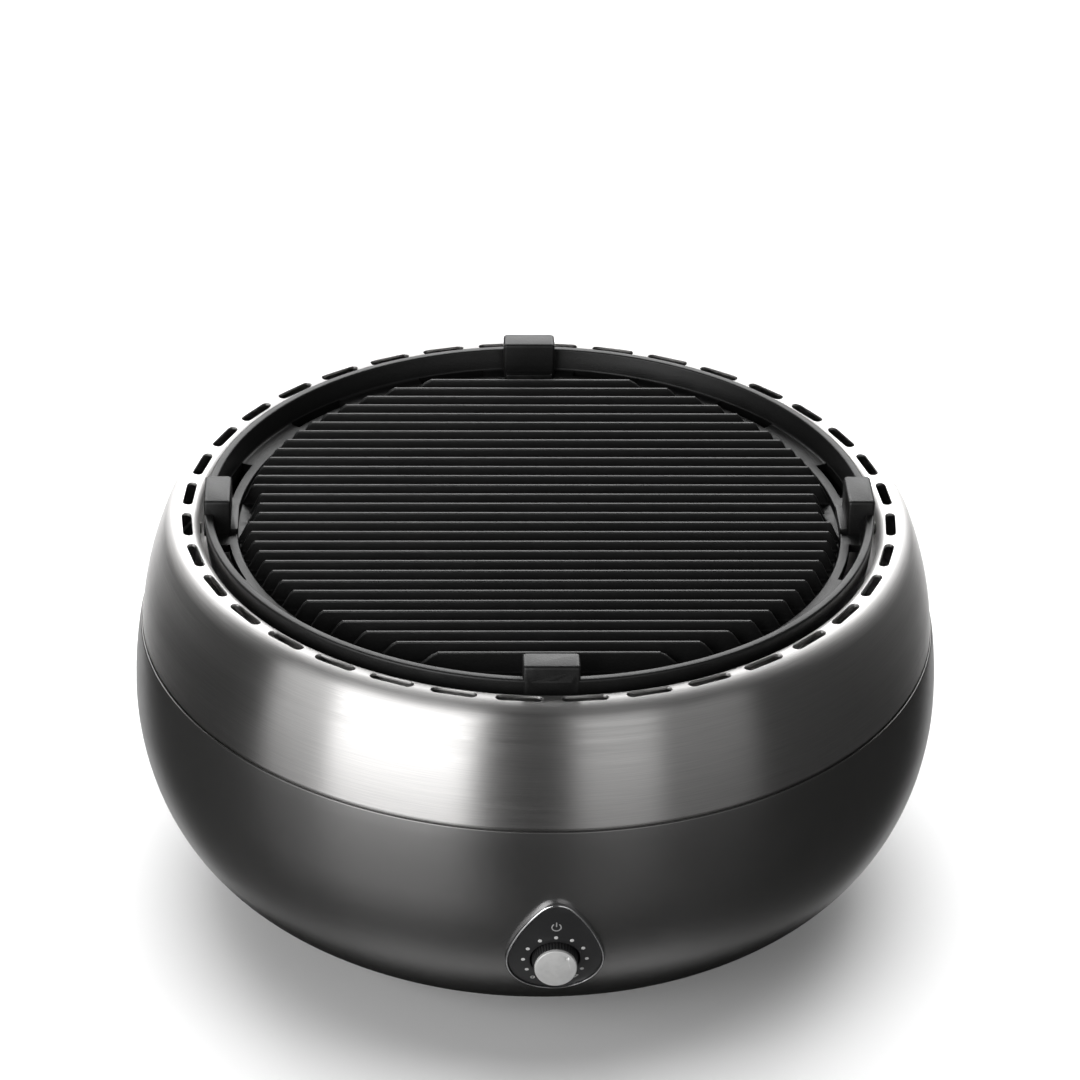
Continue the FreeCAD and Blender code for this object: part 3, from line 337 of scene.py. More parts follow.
finishes = {
    "shell_paint": makeShellPaint(),
    "collar_steel": makeBrushedSteel("collarSteel", True),
    "pan_coating": makePanCoating(),
    "bowl_steel": makeBrushedSteel("bowlSteel", True, 0.95, (0.36, 0.46)),
    "plain_steel": makeBrushedSteel("plainSteel", False, 0.8, (0.35, 0.5)),
    "zinc_steel": makeMetal("zincSteel", (0.62, 0.62, 0.60), (0.28, 0.42)),
    "black_plastic": makePlastic("blackPlastic", (0.028, 0.028, 0.028), (0.45, 0.6), 0.6, 0.06),
    "fan_plastic": makePlastic("fanPlastic", (0.07, 0.07, 0.074), (0.4, 0.55), 0.5, 0.05),
    "dial_plastic": makePlastic("dialPlastic", (0.030, 0.030, 0.031), (0.36, 0.46), 0.25, 0.02),
    "dial_chrome": makeMetal("dialChrome", (0.78, 0.78, 0.79), (0.08, 0.18), 0.6, 0.003),
    "knob_silver": makeMetal("knobSilver", (0.88, 0.88, 0.87), (0.36, 0.46), 0.25, 0.01, 0.25),
    "motor_can": makeMetal("motorCan", (0.60, 0.60, 0.57), (0.25, 0.4)),
    "cell_sleeve": makePlastic("cellSleeve", (0.09, 0.09, 0.10), (0.22, 0.32), 2.0, 0.01),
    "contact_brass": makeMetal("contactBrass", (0.78, 0.62, 0.34), (0.22, 0.34)),
    "foot_rubber": makePlastic("footRubber", (0.022, 0.022, 0.022), (0.62, 0.78), 0.4, 0.08),
    "lead_sleeve": makePlastic("leadSleeve", (0.035, 0.012, 0.012), (0.3, 0.42), 0.8, 0.01),
}
whitePrint = makePrint("whitePrint", (0.88, 0.88, 0.87))
greyPrint = makePrint("greyPrint", (0.50, 0.50, 0.50))

slotOfNode = {row["node"]: row["material_slot"] for row in frame["record"]["subparts"]}
for name, node in cadNodes.items():
    node.data.materials.clear()
    node.data.materials.append(finishes[slotOfNode[name]])
print("finishes on", len(cadNodes), "nodes")


# mesh helpers, in millimetres until a piece is finished

def finishPiece(name, bm, material, body, replaced=(), smoothAngle=32):
    bmesh.ops.remove_doubles(bm, verts=bm.verts, dist=0.001)
    bmesh.ops.recalc_face_normals(bm, faces=bm.faces)
    bmesh.ops.scale(bm, vec=(mm, mm, mm), verts=bm.verts)
    mesh = bpy.data.meshes.new(name)
    bm.to_mesh(mesh)
    bm.free()
    piece = bpy.data.objects.new(name, mesh)
    scene.collection.objects.link(piece)
    mesh.shade_smooth()
    mesh.set_sharp_from_angle(angle=math.radians(smoothAngle))
    mesh.materials.append(material)
    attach(piece, body)
    if replaced:
        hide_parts(*replaced)
    return piece


def circleAngles(count):
    return [2 * math.pi * step / count for step in range(count)]


def circlePoints(radius, count, x=0.0, y=0.0):
    return [(x + radius * math.cos(angle), y + radius * math.sin(angle)) for angle in circleAngles(count)]


def roundOutline(corners, steps):
    # closed outline through corners, each given as (x, y, radius of its rounding)
    places = [Vector(corner[:2]) for corner in corners]
    points = []
    for index, here in enumerate(places):
        radius = corners[index][2]
        if radius <= 0:
            points.append(here)
            continue
        before = (places[index - 1] - here).normalized()
        after = (places[(index + 1) % len(places)] - here).normalized()
        half = before.angle(after) / 2
        reach = radius / math.tan(half)
        centre = here + (before + after).normalized() * (radius / math.sin(half))
        start, end = here + before * reach - centre, here + after * reach - centre
        turn = math.atan2(start.x * end.y - start.y * end.x, start.dot(end))
        for step in range(steps + 1):
            angle = turn * step / steps
            c, s = math.cos(angle), math.sin(angle)
            points.append(centre + Vector((start.x * c - start.y * s, start.x * s + start.y * c)))
    return points


def movedAside(points, distance):
    # the same open line, moved to its right
    moved = []
    for index, point in enumerate(points):
        along = (points[min(index + 1, len(points) - 1)] - points[max(index - 1, 0)]).normalized()
        moved.append(point + Vector((along.y, -along.x)) * distance)
    return moved


def joinRings(bm, rings):
    for below, above in zip(rings, rings[1:]):
        for index in range(len(below)):
            after = (index + 1) % len(below)
            bm.faces.new((below[index], below[after], above[after], above[index]))


def closedBand(bm, rings):
    # closed body whose last ring joins the first
    made = [[bm.verts.new(point) for point in ring] for ring in rings]
    joinRings(bm, made + made[:1])


def revolve(bm, outline, segments):
    # closed outline turned about the vertical axis
    rings = []
    for angle in circleAngles(segments):
        c, s = math.cos(angle), math.sin(angle)
        rings.append([(p[0] * c, p[0] * s, p[1]) for p in outline])
    closedBand(bm, rings)


def layerUp(bm, rings):
    # closed body through rings of equal count, capped at both ends
    made = [[bm.verts.new(point) for point in ring] for ring in rings]
    joinRings(bm, made)
    bm.faces.new(list(reversed(made[0])))
    bm.faces.new(made[-1])


def plainObject(bm):
    bmesh.ops.recalc_face_normals(bm, faces=bm.faces)
    mesh = bpy.data.meshes.new("work")
    bm.to_mesh(mesh)
    bm.free()
    made = bpy.data.objects.new("work", mesh)
    scene.collection.objects.link(made)
    return made


def combine(base, tool, operation):
    # exact union or difference of two meshes, given back as a bmesh
    baseObject = plainObject(base)
    toolObject = plainObject(tool)
    modifier = baseObject.modifiers.new("combine", "BOOLEAN")
    modifier.operation = operation
    modifier.solver = "EXACT"
    modifier.use_self = True
    modifier.object = toolObject
    seen = baseObject.evaluated_get(bpy.context.evaluated_depsgraph_get())
    result = bmesh.new()
    result.from_mesh(seen.to_mesh())
    for made in (toolObject, baseObject):
        mesh = made.data
        bpy.data.objects.remove(made)
        bpy.data.meshes.remove(mesh)
    return result


def turned(point, degrees):
    angle = math.radians(degrees)
    c, s = math.cos(angle), math.sin(angle)
    return (point[0] * c - point[1] * s, point[0] * s + point[1] * c, point[2])


# steel collar

collar = {"wall": 1.2, "height": 49.8, "mouthGap": 1.8, "mouthRound": 4.2, "shoulderRound": 10.0,
          "flangeSlope": 5.5, "flangeWidth": 13.1, "flare": 12.8, "wallRise": 22.0, "wallInset": 1.9,
          "wallCurve": 140.0, "mouthDepth": 12.0, "skirtDepth": 11.4, "skirtInset": 0.9,
          "skirtFlange": 10.6, "vents": 36, "ventLength": 19.0, "ventWidth": 4.3, "ventInset": 5.4,
          "ventEdge": 0.45, "cutBelow": 6.0, "cutAbove": 3.0, "skirtRound": 1.5,
          "seamStep": 0.2, "segments": 288}
mouthRadius = panHigh.x + collar["mouthGap"]
seamHeight = collarLow.z + collar["skirtDepth"]
flangeHeight = seamHeight + collar["height"]
ventCircle = mouthRadius + collar["ventInset"]
shoulderRadius = mouthRadius + collar["flangeWidth"]
seamRadius = shoulderRadius + collar["flare"]
flangeTilt = math.radians(collar["flangeSlope"])


def flangeAt(radius):
    return flangeHeight + (radius - ventCircle) * math.tan(flangeTilt)


def slotRing(length, width, steps=7):
    # slot with round ends, long side along Y
    run = (length - width) / 2
    points = []
    for side, start in ((1, 0.0), (-1, math.pi)):
        for step in range(steps + 1):
            angle = start + math.pi * step / steps
            points.append((width / 2 * math.cos(angle), side * run + width / 2 * math.sin(angle)))
    return points


def makeCollar():
    skirt = seamRadius - collar["skirtInset"]
    face = roundOutline([
        (mouthRadius, flangeHeight - collar["mouthDepth"], 0),
        (mouthRadius, flangeAt(mouthRadius), collar["mouthRound"]),
        (shoulderRadius, flangeAt(shoulderRadius), collar["shoulderRound"]),
        (seamRadius - collar["wallInset"], seamHeight + collar["wallRise"], collar["wallCurve"]),
        (seamRadius, seamHeight + collar["seamStep"], 0),
        (skirt, seamHeight - collar["seamStep"], 0),
        (skirt, collarLow.z, collar["skirtRound"]),
        (skirt - collar["skirtFlange"], collarLow.z, 0),
    ], 9)
    bm = bmesh.new()
    revolve(bm, face + movedAside(face, collar["wall"])[::-1], collar["segments"])
    tool = bmesh.new()
    edge = collar["ventEdge"]
    # (height over the flange, growth of the slot): straight through, then rounded over the top edge
    levels = [(-collar["cutBelow"], 0.0), (-edge, 0.0)]
    for step in (1, 2, 3, 4):
        angle = math.radians(22.5 * step)
        levels.append((-edge * (1 - math.sin(angle)), edge * (1 - math.cos(angle))))
    levels.append((collar["cutAbove"], edge))
    c, s = math.cos(flangeTilt), math.sin(flangeTilt)
    for vent in range(collar["vents"]):
        rings = []
        for level, grow in levels:
            outline = slotRing(collar["ventLength"] + 2 * grow, collar["ventWidth"] + 2 * grow)
            rings.append([turned((ventCircle + x * c - level * s, y, flangeHeight + x * s + level * c),
                                 (vent + 0.5) * 360 / collar["vents"]) for x, y in outline])
        layerUp(tool, rings)
    cut = combine(bm, tool, "DIFFERENCE")
    finishPiece("ventedCollar", cut, finishes["collar_steel"], "housing", ["steel_collar"])


# painted shell

shell = {"wall": 1.5, "seamGap": 1.0, "seamRise": 33.3, "bellyDrop": 88.2, "sideRound": 5.69,
         "bottomRound": 1.918, "bulge": 2.8, "baseOuter": 112.0, "baseInner": 98.0, "rimRound": 0.6,
         "holeReach": 14, "holeRoom": 0.1, "segments": 288}
bodyRadius = shellHigh.x
bellyHeight = shellHigh.z + shell["seamGap"] - shell["seamRise"]


def shellPoint(angle, inset=0.0):
    # point on the lower outline, moved inwards along its normal
    def bare(a):
        return Vector((bodyRadius * math.cos(a) ** (2 / shell["sideRound"]),
                       bellyHeight - shell["bellyDrop"] * math.sin(max(a, 0)) ** (2 / shell["bottomRound"])))
    if angle <= 0:
        return Vector((bodyRadius - inset, bellyHeight))
    along = (bare(angle + 1e-4) - bare(angle - 1e-4)).normalized()
    return bare(angle) + Vector((along.y, -along.x)) * inset


def shellRadius(height, offset=0.0):
    # radius of the outer face at a height under the belly, with an offset along its normal
    def bare(level):
        share = max(0.0, (bellyHeight - level) / shell["bellyDrop"])
        return bodyRadius * (1 - share ** shell["bottomRound"]) ** (1 / shell["sideRound"])
    lean = (bare(height + 0.05) - bare(height - 0.05)) / 0.1
    return bare(height) + offset * math.sqrt(1 + lean * lean)


def shellLine(inset):
    rise = shell["seamRise"] - shell["seamGap"]
    arcRadius = (rise ** 2 + shell["bulge"] ** 2) / (2 * shell["bulge"])
    lipAngle = math.asin(rise / arcRadius)
    points = []
    for step in range(11):
        angle = lipAngle * (1 - step / 10)
        points.append(Vector((bodyRadius - arcRadius + (arcRadius - inset) * math.cos(angle),
                              bellyHeight + (arcRadius - inset) * math.sin(angle))))
    baseAngle = math.acos((shell["baseOuter"] / bodyRadius) ** (shell["sideRound"] / 2))
    for step in range(1, 57):
        points.append(shellPoint(baseAngle * step / 56, inset))
    return points


def roundRim(corner, radius, side):
    # quarter round at the top edge of the rim; side is where the material ends
    points = []
    for step in range(5):
        angle = math.radians(90 * (1 - step / 4))
        across = side * radius * (1 - math.cos(angle))
        points.append(corner + Vector((across, -radius * (1 - math.sin(angle)))))
    return points


def makeShell(dialFrame, wellRadius):
    outer, inner = shellLine(0), shellLine(shell["wall"])
    outer[0:1] = roundRim(outer[0], shell["rimRound"], -1)
    inner[0:1] = roundRim(inner[0], shell["rimRound"], 1)[::-1]
    lip = [Vector((shell["baseInner"], outer[-1].y)), Vector((shell["baseInner"], inner[-1].y))]
    bm = bmesh.new()
    revolve(bm, outer + lip + inner[::-1], shell["segments"])
    tool = bmesh.new()
    reach = shell["holeReach"]
    hole = circlePoints(wellRadius, 72)
    layerUp(tool, [[dialFrame.at(x, y, depth) for x, y in hole] for depth in (-reach, reach)])
    cut = combine(bm, tool, "DIFFERENCE")
    finishPiece("paintedShell", cut, finishes["shell_paint"], "housing", ["outer_shell"])


# grill pan

pan = {"rimWidth": 3.7, "draft": 1.5, "lugRise": 6.3, "troughDepth": 10.0, "troughWidth": 9.1,
       "fieldDrop": 2.5, "floor": 4.0, "ribPitch": 8.15, "ribTop": 1.7, "ribRoot": 2.8, "ribDrop": 3.4,
       "ribRound": 0.5, "ribFoot": 0.8, "endSlope": 4.5, "shortCut": 4.6, "shortRibs": (-0.5, 0.5, 1.5),
       "lastRibRoom": 7.0, "hub": 0.01, "troughFloor": 3.6, "underInset": 1, "underSlope": 4.5,
       "skirtInner": (1.0, 1.2), "skirtInset": 2.0, "bendInset": 0.7, "bendDrop": 10, "fieldDraft": 0.3,
       "drains": 12, "drainAngle": 13.2, "drainWidth": 4.6, "drainInset": 0.2, "drainFlare": 0.35,
       "lugWidth": 23.5, "lugDepth": 12.0, "lugEdge": 1.3, "lugStep": 3.0, "lugStepInset": 1,
       "lugTurns": (0, 90, 180, 270), "sunk": 1, "segments": 240}
rimHeight = panHigh.z - pan["lugRise"]
troughHeight = rimHeight - pan["troughDepth"]
fieldHeight = troughHeight - pan["fieldDrop"]
wallTop = panHigh.x - pan["rimWidth"]
wallBase = wallTop - pan["draft"]
fieldRadius = wallBase - pan["troughWidth"]


def ribStations(offset, shorten):
    # (distance along the rib, share of its full height), from one end to the other
    root = math.sqrt((fieldRadius - 0.4) ** 2 - offset ** 2) - shorten
    top = math.sqrt((fieldRadius - pan["endSlope"]) ** 2 - offset ** 2) - shorten
    ends = [(root + 0.6, 0.0), (root, 0.05)]
    ends += [(root + (top - root) * share, share) for share in (0.3, 0.6, 0.85)]
    ends += [(top - 0.25, 0.95), (top - 0.8, 1.0)]
    return [(-reach, rise) for reach, rise in ends] + [(reach, rise) for reach, rise in reversed(ends)]


def addRib(bm, offset, shorten):
    full = rimHeight - pan["ribDrop"] - fieldHeight
    rings = []
    for along, rise in ribStations(offset, shorten):
        height = max(full * rise, 0.02)
        half = pan["ribRoot"] / 2 - (pan["ribRoot"] - pan["ribTop"]) / 2 * height / full
        curve = min(pan["ribRound"], height * 0.45, half * 0.6)
        foot = min(pan["ribFoot"], height * 0.45)
        side = [(pan["ribRoot"] / 2 + foot, -1.0), (pan["ribRoot"] / 2 + foot, 0.0)]
        side += [(pan["ribRoot"] / 2 + foot * 0.3, foot * 0.3), (pan["ribRoot"] / 2 - 0.05, foot)]
        for step in range(4):
            angle = math.radians(30 * step)
            side.append((half - curve * (1 - math.cos(angle)), height - curve * (1 - math.sin(angle))))
        section = side + [(-y, z) for y, z in reversed(side)]
        rings.append([(along, offset + y, fieldHeight + z) for y, z in section])
    layerUp(bm, rings)


def addLug(bm, turn):
    # block over the rim with a low step at its foot
    half, deep = pan["lugWidth"] / 2, pan["lugDepth"]
    reach = math.sqrt(panHigh.x ** 2 - half ** 2)
    back, edge, root = panHigh.x - deep, pan["lugEdge"], troughHeight - pan["sunk"]
    rounded = roundOutline([(back, -half, edge), (reach, -half, edge), (reach, half, edge),
                            (back, half, edge)], 4)
    centre = Vector((panHigh.x - deep / 2, 0))
    levels = [(root, 0.0), (panHigh.z - edge, 0.0)]
    for step in (1, 2, 3):
        angle = math.radians(30 * step)
        levels.append((panHigh.z - edge * (1 - math.sin(angle)), edge * (1 - math.cos(angle))))
    rings = []
    for level, shrink in levels:
        ring = []
        for point in rounded:
            inner = Vector((point.x - centre.x, point.y))
            inner.x -= math.copysign(min(shrink, abs(inner.x)), inner.x)
            inner.y -= math.copysign(min(shrink, abs(inner.y)), inner.y)
            bow = (half ** 2 - point.y ** 2) / (2 * panHigh.x) if point.x > centre.x else 0
            ring.append(turned((centre.x + inner.x + bow, inner.y, level), turn))
        rings.append(ring)
    layerUp(bm, rings)
    front, side = back - pan["lugStep"], half - pan["lugStepInset"]
    foot = roundOutline([(front, -side, 1.0), (back + 1, -side, 0.2), (back + 1, side, 0.2),
                         (front, side, 1.0)], 3)
    middle = back - pan["lugStep"] / 2
    rings = []
    for level, shrink in ((root, 0.0), (troughHeight + 1.7, 0.0), (troughHeight + 2.05, 0.15),
                          (troughHeight + 2.2, 0.5)):
        rings.append([turned((p.x + (shrink if p.x < middle else 0), p.y * (1 - shrink / half), level), turn)
                      for p in foot])
    layerUp(bm, rings)


def drainTool():
    bm = bmesh.new()
    outer = wallBase - pan["drainInset"]
    inner, flare = outer - pan["drainWidth"], pan["drainFlare"]
    half = pan["drainAngle"] / 2
    for index in range(pan["drains"]):
        middle = (index + 0.5) * 360 / pan["drains"]
        ring = []
        for radius, spread in ((outer, (-1, -0.5, 0, 0.5, 1)), (inner, (1, 0.5, 0, -0.5, -1))):
            for share in spread:
                inset = 0.97 if abs(share) == 1 else 1.0
                ring.append((radius, middle + half * share * inset))
        rings = []
        for level, grow in ((troughHeight - 8, 0), (troughHeight - 0.5, 0), (troughHeight, flare),
                            (troughHeight + 0.6, flare)):
            rings.append([turned((radius - grow if radius == inner else radius, 0, level), angle)
                          for radius, angle in ring])
        layerUp(bm, rings)
    return bm


def makePan():
    under, troughUnder = fieldHeight - pan["floor"], troughHeight - pan["troughFloor"]
    outline = roundOutline([
        (pan["hub"], under, 0),
        (fieldRadius - pan["underInset"], under, 1.5),
        (wallBase - pan["underSlope"], troughUnder, 1.5),
        (wallBase + pan["skirtInner"][0], troughUnder, 0.8),
        (wallBase + pan["skirtInner"][1], panLow.z, 0.5),
        (panHigh.x - pan["skirtInset"], panLow.z, 0.8),
        (panHigh.x - pan["bendInset"], rimHeight - pan["bendDrop"], 4.0),
        (panHigh.x, rimHeight, 1.0),
        (wallTop, rimHeight, 0.9),
        (wallBase, troughHeight, 1.4),
        (fieldRadius, troughHeight, 0.7),
        (fieldRadius - pan["fieldDraft"], fieldHeight, 0.7),
        (pan["hub"], fieldHeight, 0),
    ], 4)
    base = bmesh.new()
    revolve(base, outline, pan["segments"])
    raised = bmesh.new()
    last = fieldRadius - pan["endSlope"] - pan["lastRibRoom"]
    count = int(last / pan["ribPitch"] + 0.5)
    for step in range(-count, count):
        place = step + 0.5
        addRib(raised, place * pan["ribPitch"], pan["shortCut"] if place in pan["shortRibs"] else 0)
    for turn in pan["lugTurns"]:
        addLug(raised, turn)
    joined = combine(base, raised, "UNION")
    cut = combine(joined, drainTool(), "DIFFERENCE")
    finishPiece("castPan", cut, finishes["pan_coating"], "pan", ["grill_pan"], 38)


# dial

class DialFrame:
    # places points given as right, up and out of the shell at the dial
    def __init__(self):
        joint = next(row for row in frame["joints"] if row["name"] == "knob_turn")
        self.centre = Vector(joint["pos_m"]) / mm
        self.out = Vector(joint["axis"]).normalized()
        self.right = Vector((0, 0, 1)).cross(self.out)
        self.reach = Vector((self.centre.x, self.centre.y)).length

    def at(self, x, y, depth):
        return self.centre + self.right * x + Vector((0, 0, y)) + self.out * depth

    def onShell(self, x, y, offset):
        radius = shellRadius(self.centre.z + y, offset)
        return self.at(x, y, math.sqrt(radius * radius - x * x) - self.reach)


dial = {"wall": 1.8, "lowRound": 19.6, "tipRound": 8.5, "tipRise": 21.5, "flank": 52.0, "lipWidth": 1.3,
        "lipHeight": 2.7, "well": 10.4, "wellWall": 1.0, "wellDepth": 9.0, "wellFloor": 1.5,
        "bush": 3.5, "steps": 144}


def tearRadius(angle, grow=0.0):
    # distance from the knob's axis to the teardrop outline, at an angle from the right
    low, tip, flank = dial["lowRound"] + grow, dial["tipRound"] + grow, dial["flank"] + grow
    reachLow, reachTip = dial["flank"] - dial["lowRound"], dial["flank"] - dial["tipRound"]
    rise = dial["tipRise"]
    y = (reachLow ** 2 - reachTip ** 2 + rise ** 2) / (2 * rise)
    x = math.sqrt(reachLow ** 2 - y ** 2)
    side = 1 if math.cos(angle) >= 0 else -1
    flankCentre, tipCentre = Vector((-side * x, y)), Vector((0, rise))
    lowJoint = flankCentre - flankCentre.normalized() * flank
    tipJoint = flankCentre + (tipCentre - flankCentre).normalized() * flank
    ray = Vector((math.cos(angle), math.sin(angle)))
    if ray.y < lowJoint.normalized().y:
        return low
    centre, radius = (tipCentre, tip) if ray.y > tipJoint.normalized().y else (flankCentre, flank)
    along = ray.dot(centre)
    return along + math.sqrt(along * along - centre.length_squared + radius * radius)


def dialRing(dialFrame, radiusAt, offset, onShell):
    ring = []
    for angle in circleAngles(dial["steps"]):
        radius = radiusAt(angle)
        x, y = radius * math.cos(angle), radius * math.sin(angle)
        ring.append(dialFrame.onShell(x, y, offset) if onShell else dialFrame.at(x, y, offset))
    return ring


def onScale(radius, degrees):
    # angle clockwise from the top
    angle = math.radians(90 - degrees)
    return radius * math.cos(angle), radius * math.sin(angle)


def makeDialPlate(dialFrame):
    well, wall, depth = dial["well"], dial["wall"], dial["wellDepth"]

    def between(share, inset):
        return lambda angle: (well + 0.4) * (1 - share) + (tearRadius(angle) - inset) * share

    rings = [dialRing(dialFrame, lambda a: dial["bush"], dial["wellFloor"] - depth, False),
             dialRing(dialFrame, lambda a: well - 0.4, dial["wellFloor"] - depth, False),
             dialRing(dialFrame, lambda a: well, dial["wellFloor"] - depth + 0.4, False),
             dialRing(dialFrame, lambda a: well, wall - 0.4, True),
             dialRing(dialFrame, lambda a: well + 0.12, wall - 0.12, True)]
    rings += [dialRing(dialFrame, between(step / 12, 0.3), wall, True) for step in range(13)]
    rings += [dialRing(dialFrame, between(1, 0.02), wall - 0.25, True),
              dialRing(dialFrame, between(1, 0.02), 0.01, True),
              dialRing(dialFrame, lambda a: well + dial["wellWall"], 0.01, True),
              dialRing(dialFrame, lambda a: well + dial["wellWall"], -depth, False),
              dialRing(dialFrame, lambda a: dial["bush"], -depth, False)]
    bm = bmesh.new()
    closedBand(bm, rings)
    finishPiece("dialPlate", bm, finishes["dial_plastic"], "housing", ["dial_plate"])


def makeDialLip(dialFrame):
    wide, high = dial["lipWidth"], dial["lipHeight"]
    section = [(0.03, 0.01), (0.03, high - 0.45), (0.12, high - 0.15), (0.32, high), (0.62, high - 0.02),
               (0.95, high - 0.3), (1.16, high - 0.75), (1.26, high - 1.3), (wide, 0.3), (wide, 0.01)]
    rings = [dialRing(dialFrame, lambda angle, out=grow: tearRadius(angle, out), offset, True)
             for grow, offset in section]
    bm = bmesh.new()
    closedBand(bm, rings)
    finishPiece("dialRim", bm, finishes["dial_chrome"], "housing", ["dial_lip"], 50)


knob = {"backRadius": 9.9, "frontRadius": 9.2, "back": -2.5, "front": 6.9, "knurls": 44, "knurlDepth": 0.45,
        "edge": 0.35, "capRadius": 8.8, "capWall": 1.5, "capEdge": 0.5, "pointerAngle": 42.0,
        "pointerRadius": 6.85, "dimple": 1.1, "dimpleLift": 0.35, "bore": 2.4}


def makeKnob(dialFrame):
    count = knob["knurls"] * 8

    def ring(level, shrink, knurl):
        share = (level - knob["back"]) / (knob["front"] - knob["back"])
        base = knob["backRadius"] + (knob["frontRadius"] - knob["backRadius"]) * share - shrink
        points = []
        for angle in circleAngles(count):
            wave = abs(math.sin(knob["knurls"] * angle / 2)) ** 0.7
            radius = base - knob["knurlDepth"] * (1 - wave) * knurl
            points.append(dialFrame.at(radius * math.cos(angle), radius * math.sin(angle), level))
        return points

    def circle(radius, level):
        return [dialFrame.at(x, y, level) for x, y in circlePoints(radius, count)]

    edge = knob["edge"]
    rings = [circle(knob["bore"], knob["back"]), ring(knob["back"], 0.3, 0.6), ring(knob["back"] + 0.3, 0, 1),
             ring(1.5, 0, 1), ring(knob["front"] - edge, 0, 1), ring(knob["front"] - 0.1, 0.1, 0.7),
             ring(knob["front"], edge, 0.2), circle(knob["capRadius"] - 0.2, knob["front"]),
             circle(knob["bore"], knob["front"])]
    bm = bmesh.new()
    closedBand(bm, rings)
    finishPiece("knobGrip", bm, finishes["dial_plastic"], "knob", ["knob_body"], 50)
    makeKnobCap(dialFrame)


def makeKnobCap(dialFrame):
    top, steps, edge = knob["front"] + knob["capWall"], 96, knob["capEdge"]
    levels = [(knob["capRadius"], knob["front"])]
    for step in range(4):
        angle = math.radians(30 * step)
        levels.append((knob["capRadius"] - edge * (1 - math.cos(angle)), top - edge * (1 - math.sin(angle))))
    cap = bmesh.new()
    layerUp(cap, [[dialFrame.at(x, y, level) for x, y in circlePoints(radius, steps)]
                  for radius, level in levels])
    tool = bmesh.new()
    bmesh.ops.create_uvsphere(tool, u_segments=28, v_segments=18, radius=knob["dimple"])
    spot = dialFrame.at(*onScale(knob["pointerRadius"], knob["pointerAngle"]), top + knob["dimpleLift"])
    bmesh.ops.translate(tool, vec=spot, verts=tool.verts)
    cut = combine(cap, tool, "DIFFERENCE")
    finishPiece("knobFace", cut, finishes["knob_silver"], "knob", ["knob_cap"], 40)


marks = {"dotRadius": 13.2, "dotSize": 0.85, "dots": 9, "dotStep": 30.0, "thick": 0.05, "sunk": 0.1,
         "powerRise": 19.0, "powerRadius": 1.9, "powerStroke": 0.5, "powerStart": 125, "powerSweep": 290,
         "powerBar": (0.3, 2.6), "zeroAngle": -144.0, "fullAngle": 142.0, "endRadius": 15.0,
         "zeroSize": 0.75, "fineStroke": 0.35, "tick": 0.9, "tickStroke": 0.4}


def addDisc(bm, dialFrame, x, y, radius):
    # small printed dot that follows the plate
    rings = []
    for reach, lift in ((radius, -marks["sunk"]), (radius, 0.03), (radius * 0.9, marks["thick"])):
        rings.append([dialFrame.onShell(*point, dial["wall"] + lift)
                      for point in circlePoints(reach, 24, x, y)])
    layerUp(bm, rings)


def addStroke(bm, dialFrame, points, width, closed=False):
    # printed line of an even width through points on the plate
    path = [Vector(p) for p in points]
    sections = []
    for index, point in enumerate(path):
        before = path[index - 1] if closed or index > 0 else point
        after = path[(index + 1) % len(path)] if closed or index < len(path) - 1 else point
        along = (after - before).normalized()
        side = Vector((-along.y, along.x)) * (width / 2)
        sections.append([dialFrame.onShell(p.x, p.y, dial["wall"] + lift)
                         for p, lift in ((point - side, -marks["sunk"]), (point - side, marks["thick"]),
                                         (point + side, marks["thick"]), (point + side, -marks["sunk"]))])
    if closed:
        closedBand(bm, sections)
    else:
        layerUp(bm, sections)


def makeMarksOnDial(dialFrame):
    bm = bmesh.new()
    first = -marks["dotStep"] * (marks["dots"] - 1) / 2
    for step in range(marks["dots"]):
        x, y = onScale(marks["dotRadius"], first + step * marks["dotStep"])
        addDisc(bm, dialFrame, x, y, marks["dotSize"])
    x, y = onScale(marks["endRadius"], marks["zeroAngle"])
    addStroke(bm, dialFrame, circlePoints(marks["zeroSize"], 24, x, y), marks["fineStroke"], True)
    x, y = onScale(marks["endRadius"], marks["fullAngle"])
    tick = marks["tick"]
    addStroke(bm, dialFrame, [(x - tick, y - tick), (x + tick, y + tick)], marks["tickStroke"])
    addStroke(bm, dialFrame, [(x - 0.3, y + 0.95), (x + 0.85, y + 0.85)], marks["fineStroke"])
    finishPiece("dialScale", bm, whitePrint, "housing")
    power = bmesh.new()
    rise, radius = marks["powerRise"], marks["powerRadius"]
    arc = [(radius * math.cos(a), rise + radius * math.sin(a))
           for a in (math.radians(marks["powerStart"] + marks["powerSweep"] * step / 30)
                     for step in range(31))]
    addStroke(power, dialFrame, arc, marks["powerStroke"])
    addStroke(power, dialFrame, [(0, rise + end) for end in marks["powerBar"]], marks["powerStroke"])
    finishPiece("powerMark", power, greyPrint, "housing")


makeCollar()
dialFrame = DialFrame()
makeShell(dialFrame, dial["well"] + dial["wellWall"] + shell["holeRoom"])
print("collar and shell ready")
makePan()
print("pan ready")
makeDialPlate(dialFrame)
makeDialLip(dialFrame)
makeKnob(dialFrame)
makeMarksOnDial(dialFrame)
print("dial ready")


# camera, floor and light

camera = {"lens": 134.74, "sensor": 36.0, "farEnd": 60.0, "place": (-0.0712, -1.5242, 1.0654),
          "turn": (59.540, -1.188, -2.002)}


def makeCamera():
    data = bpy.data.cameras.new("viewCamera")
    data.lens = camera["lens"]
    data.sensor_width = camera["sensor"]
    data.clip_end = camera["farEnd"]
    cameraObject = bpy.data.objects.new("viewCamera", data)
    cameraObject.location = camera["place"]
    cameraObject.rotation_euler = [math.radians(value) for value in camera["turn"]]
    scene.collection.objects.link(cameraObject)
    scene.camera = cameraObject


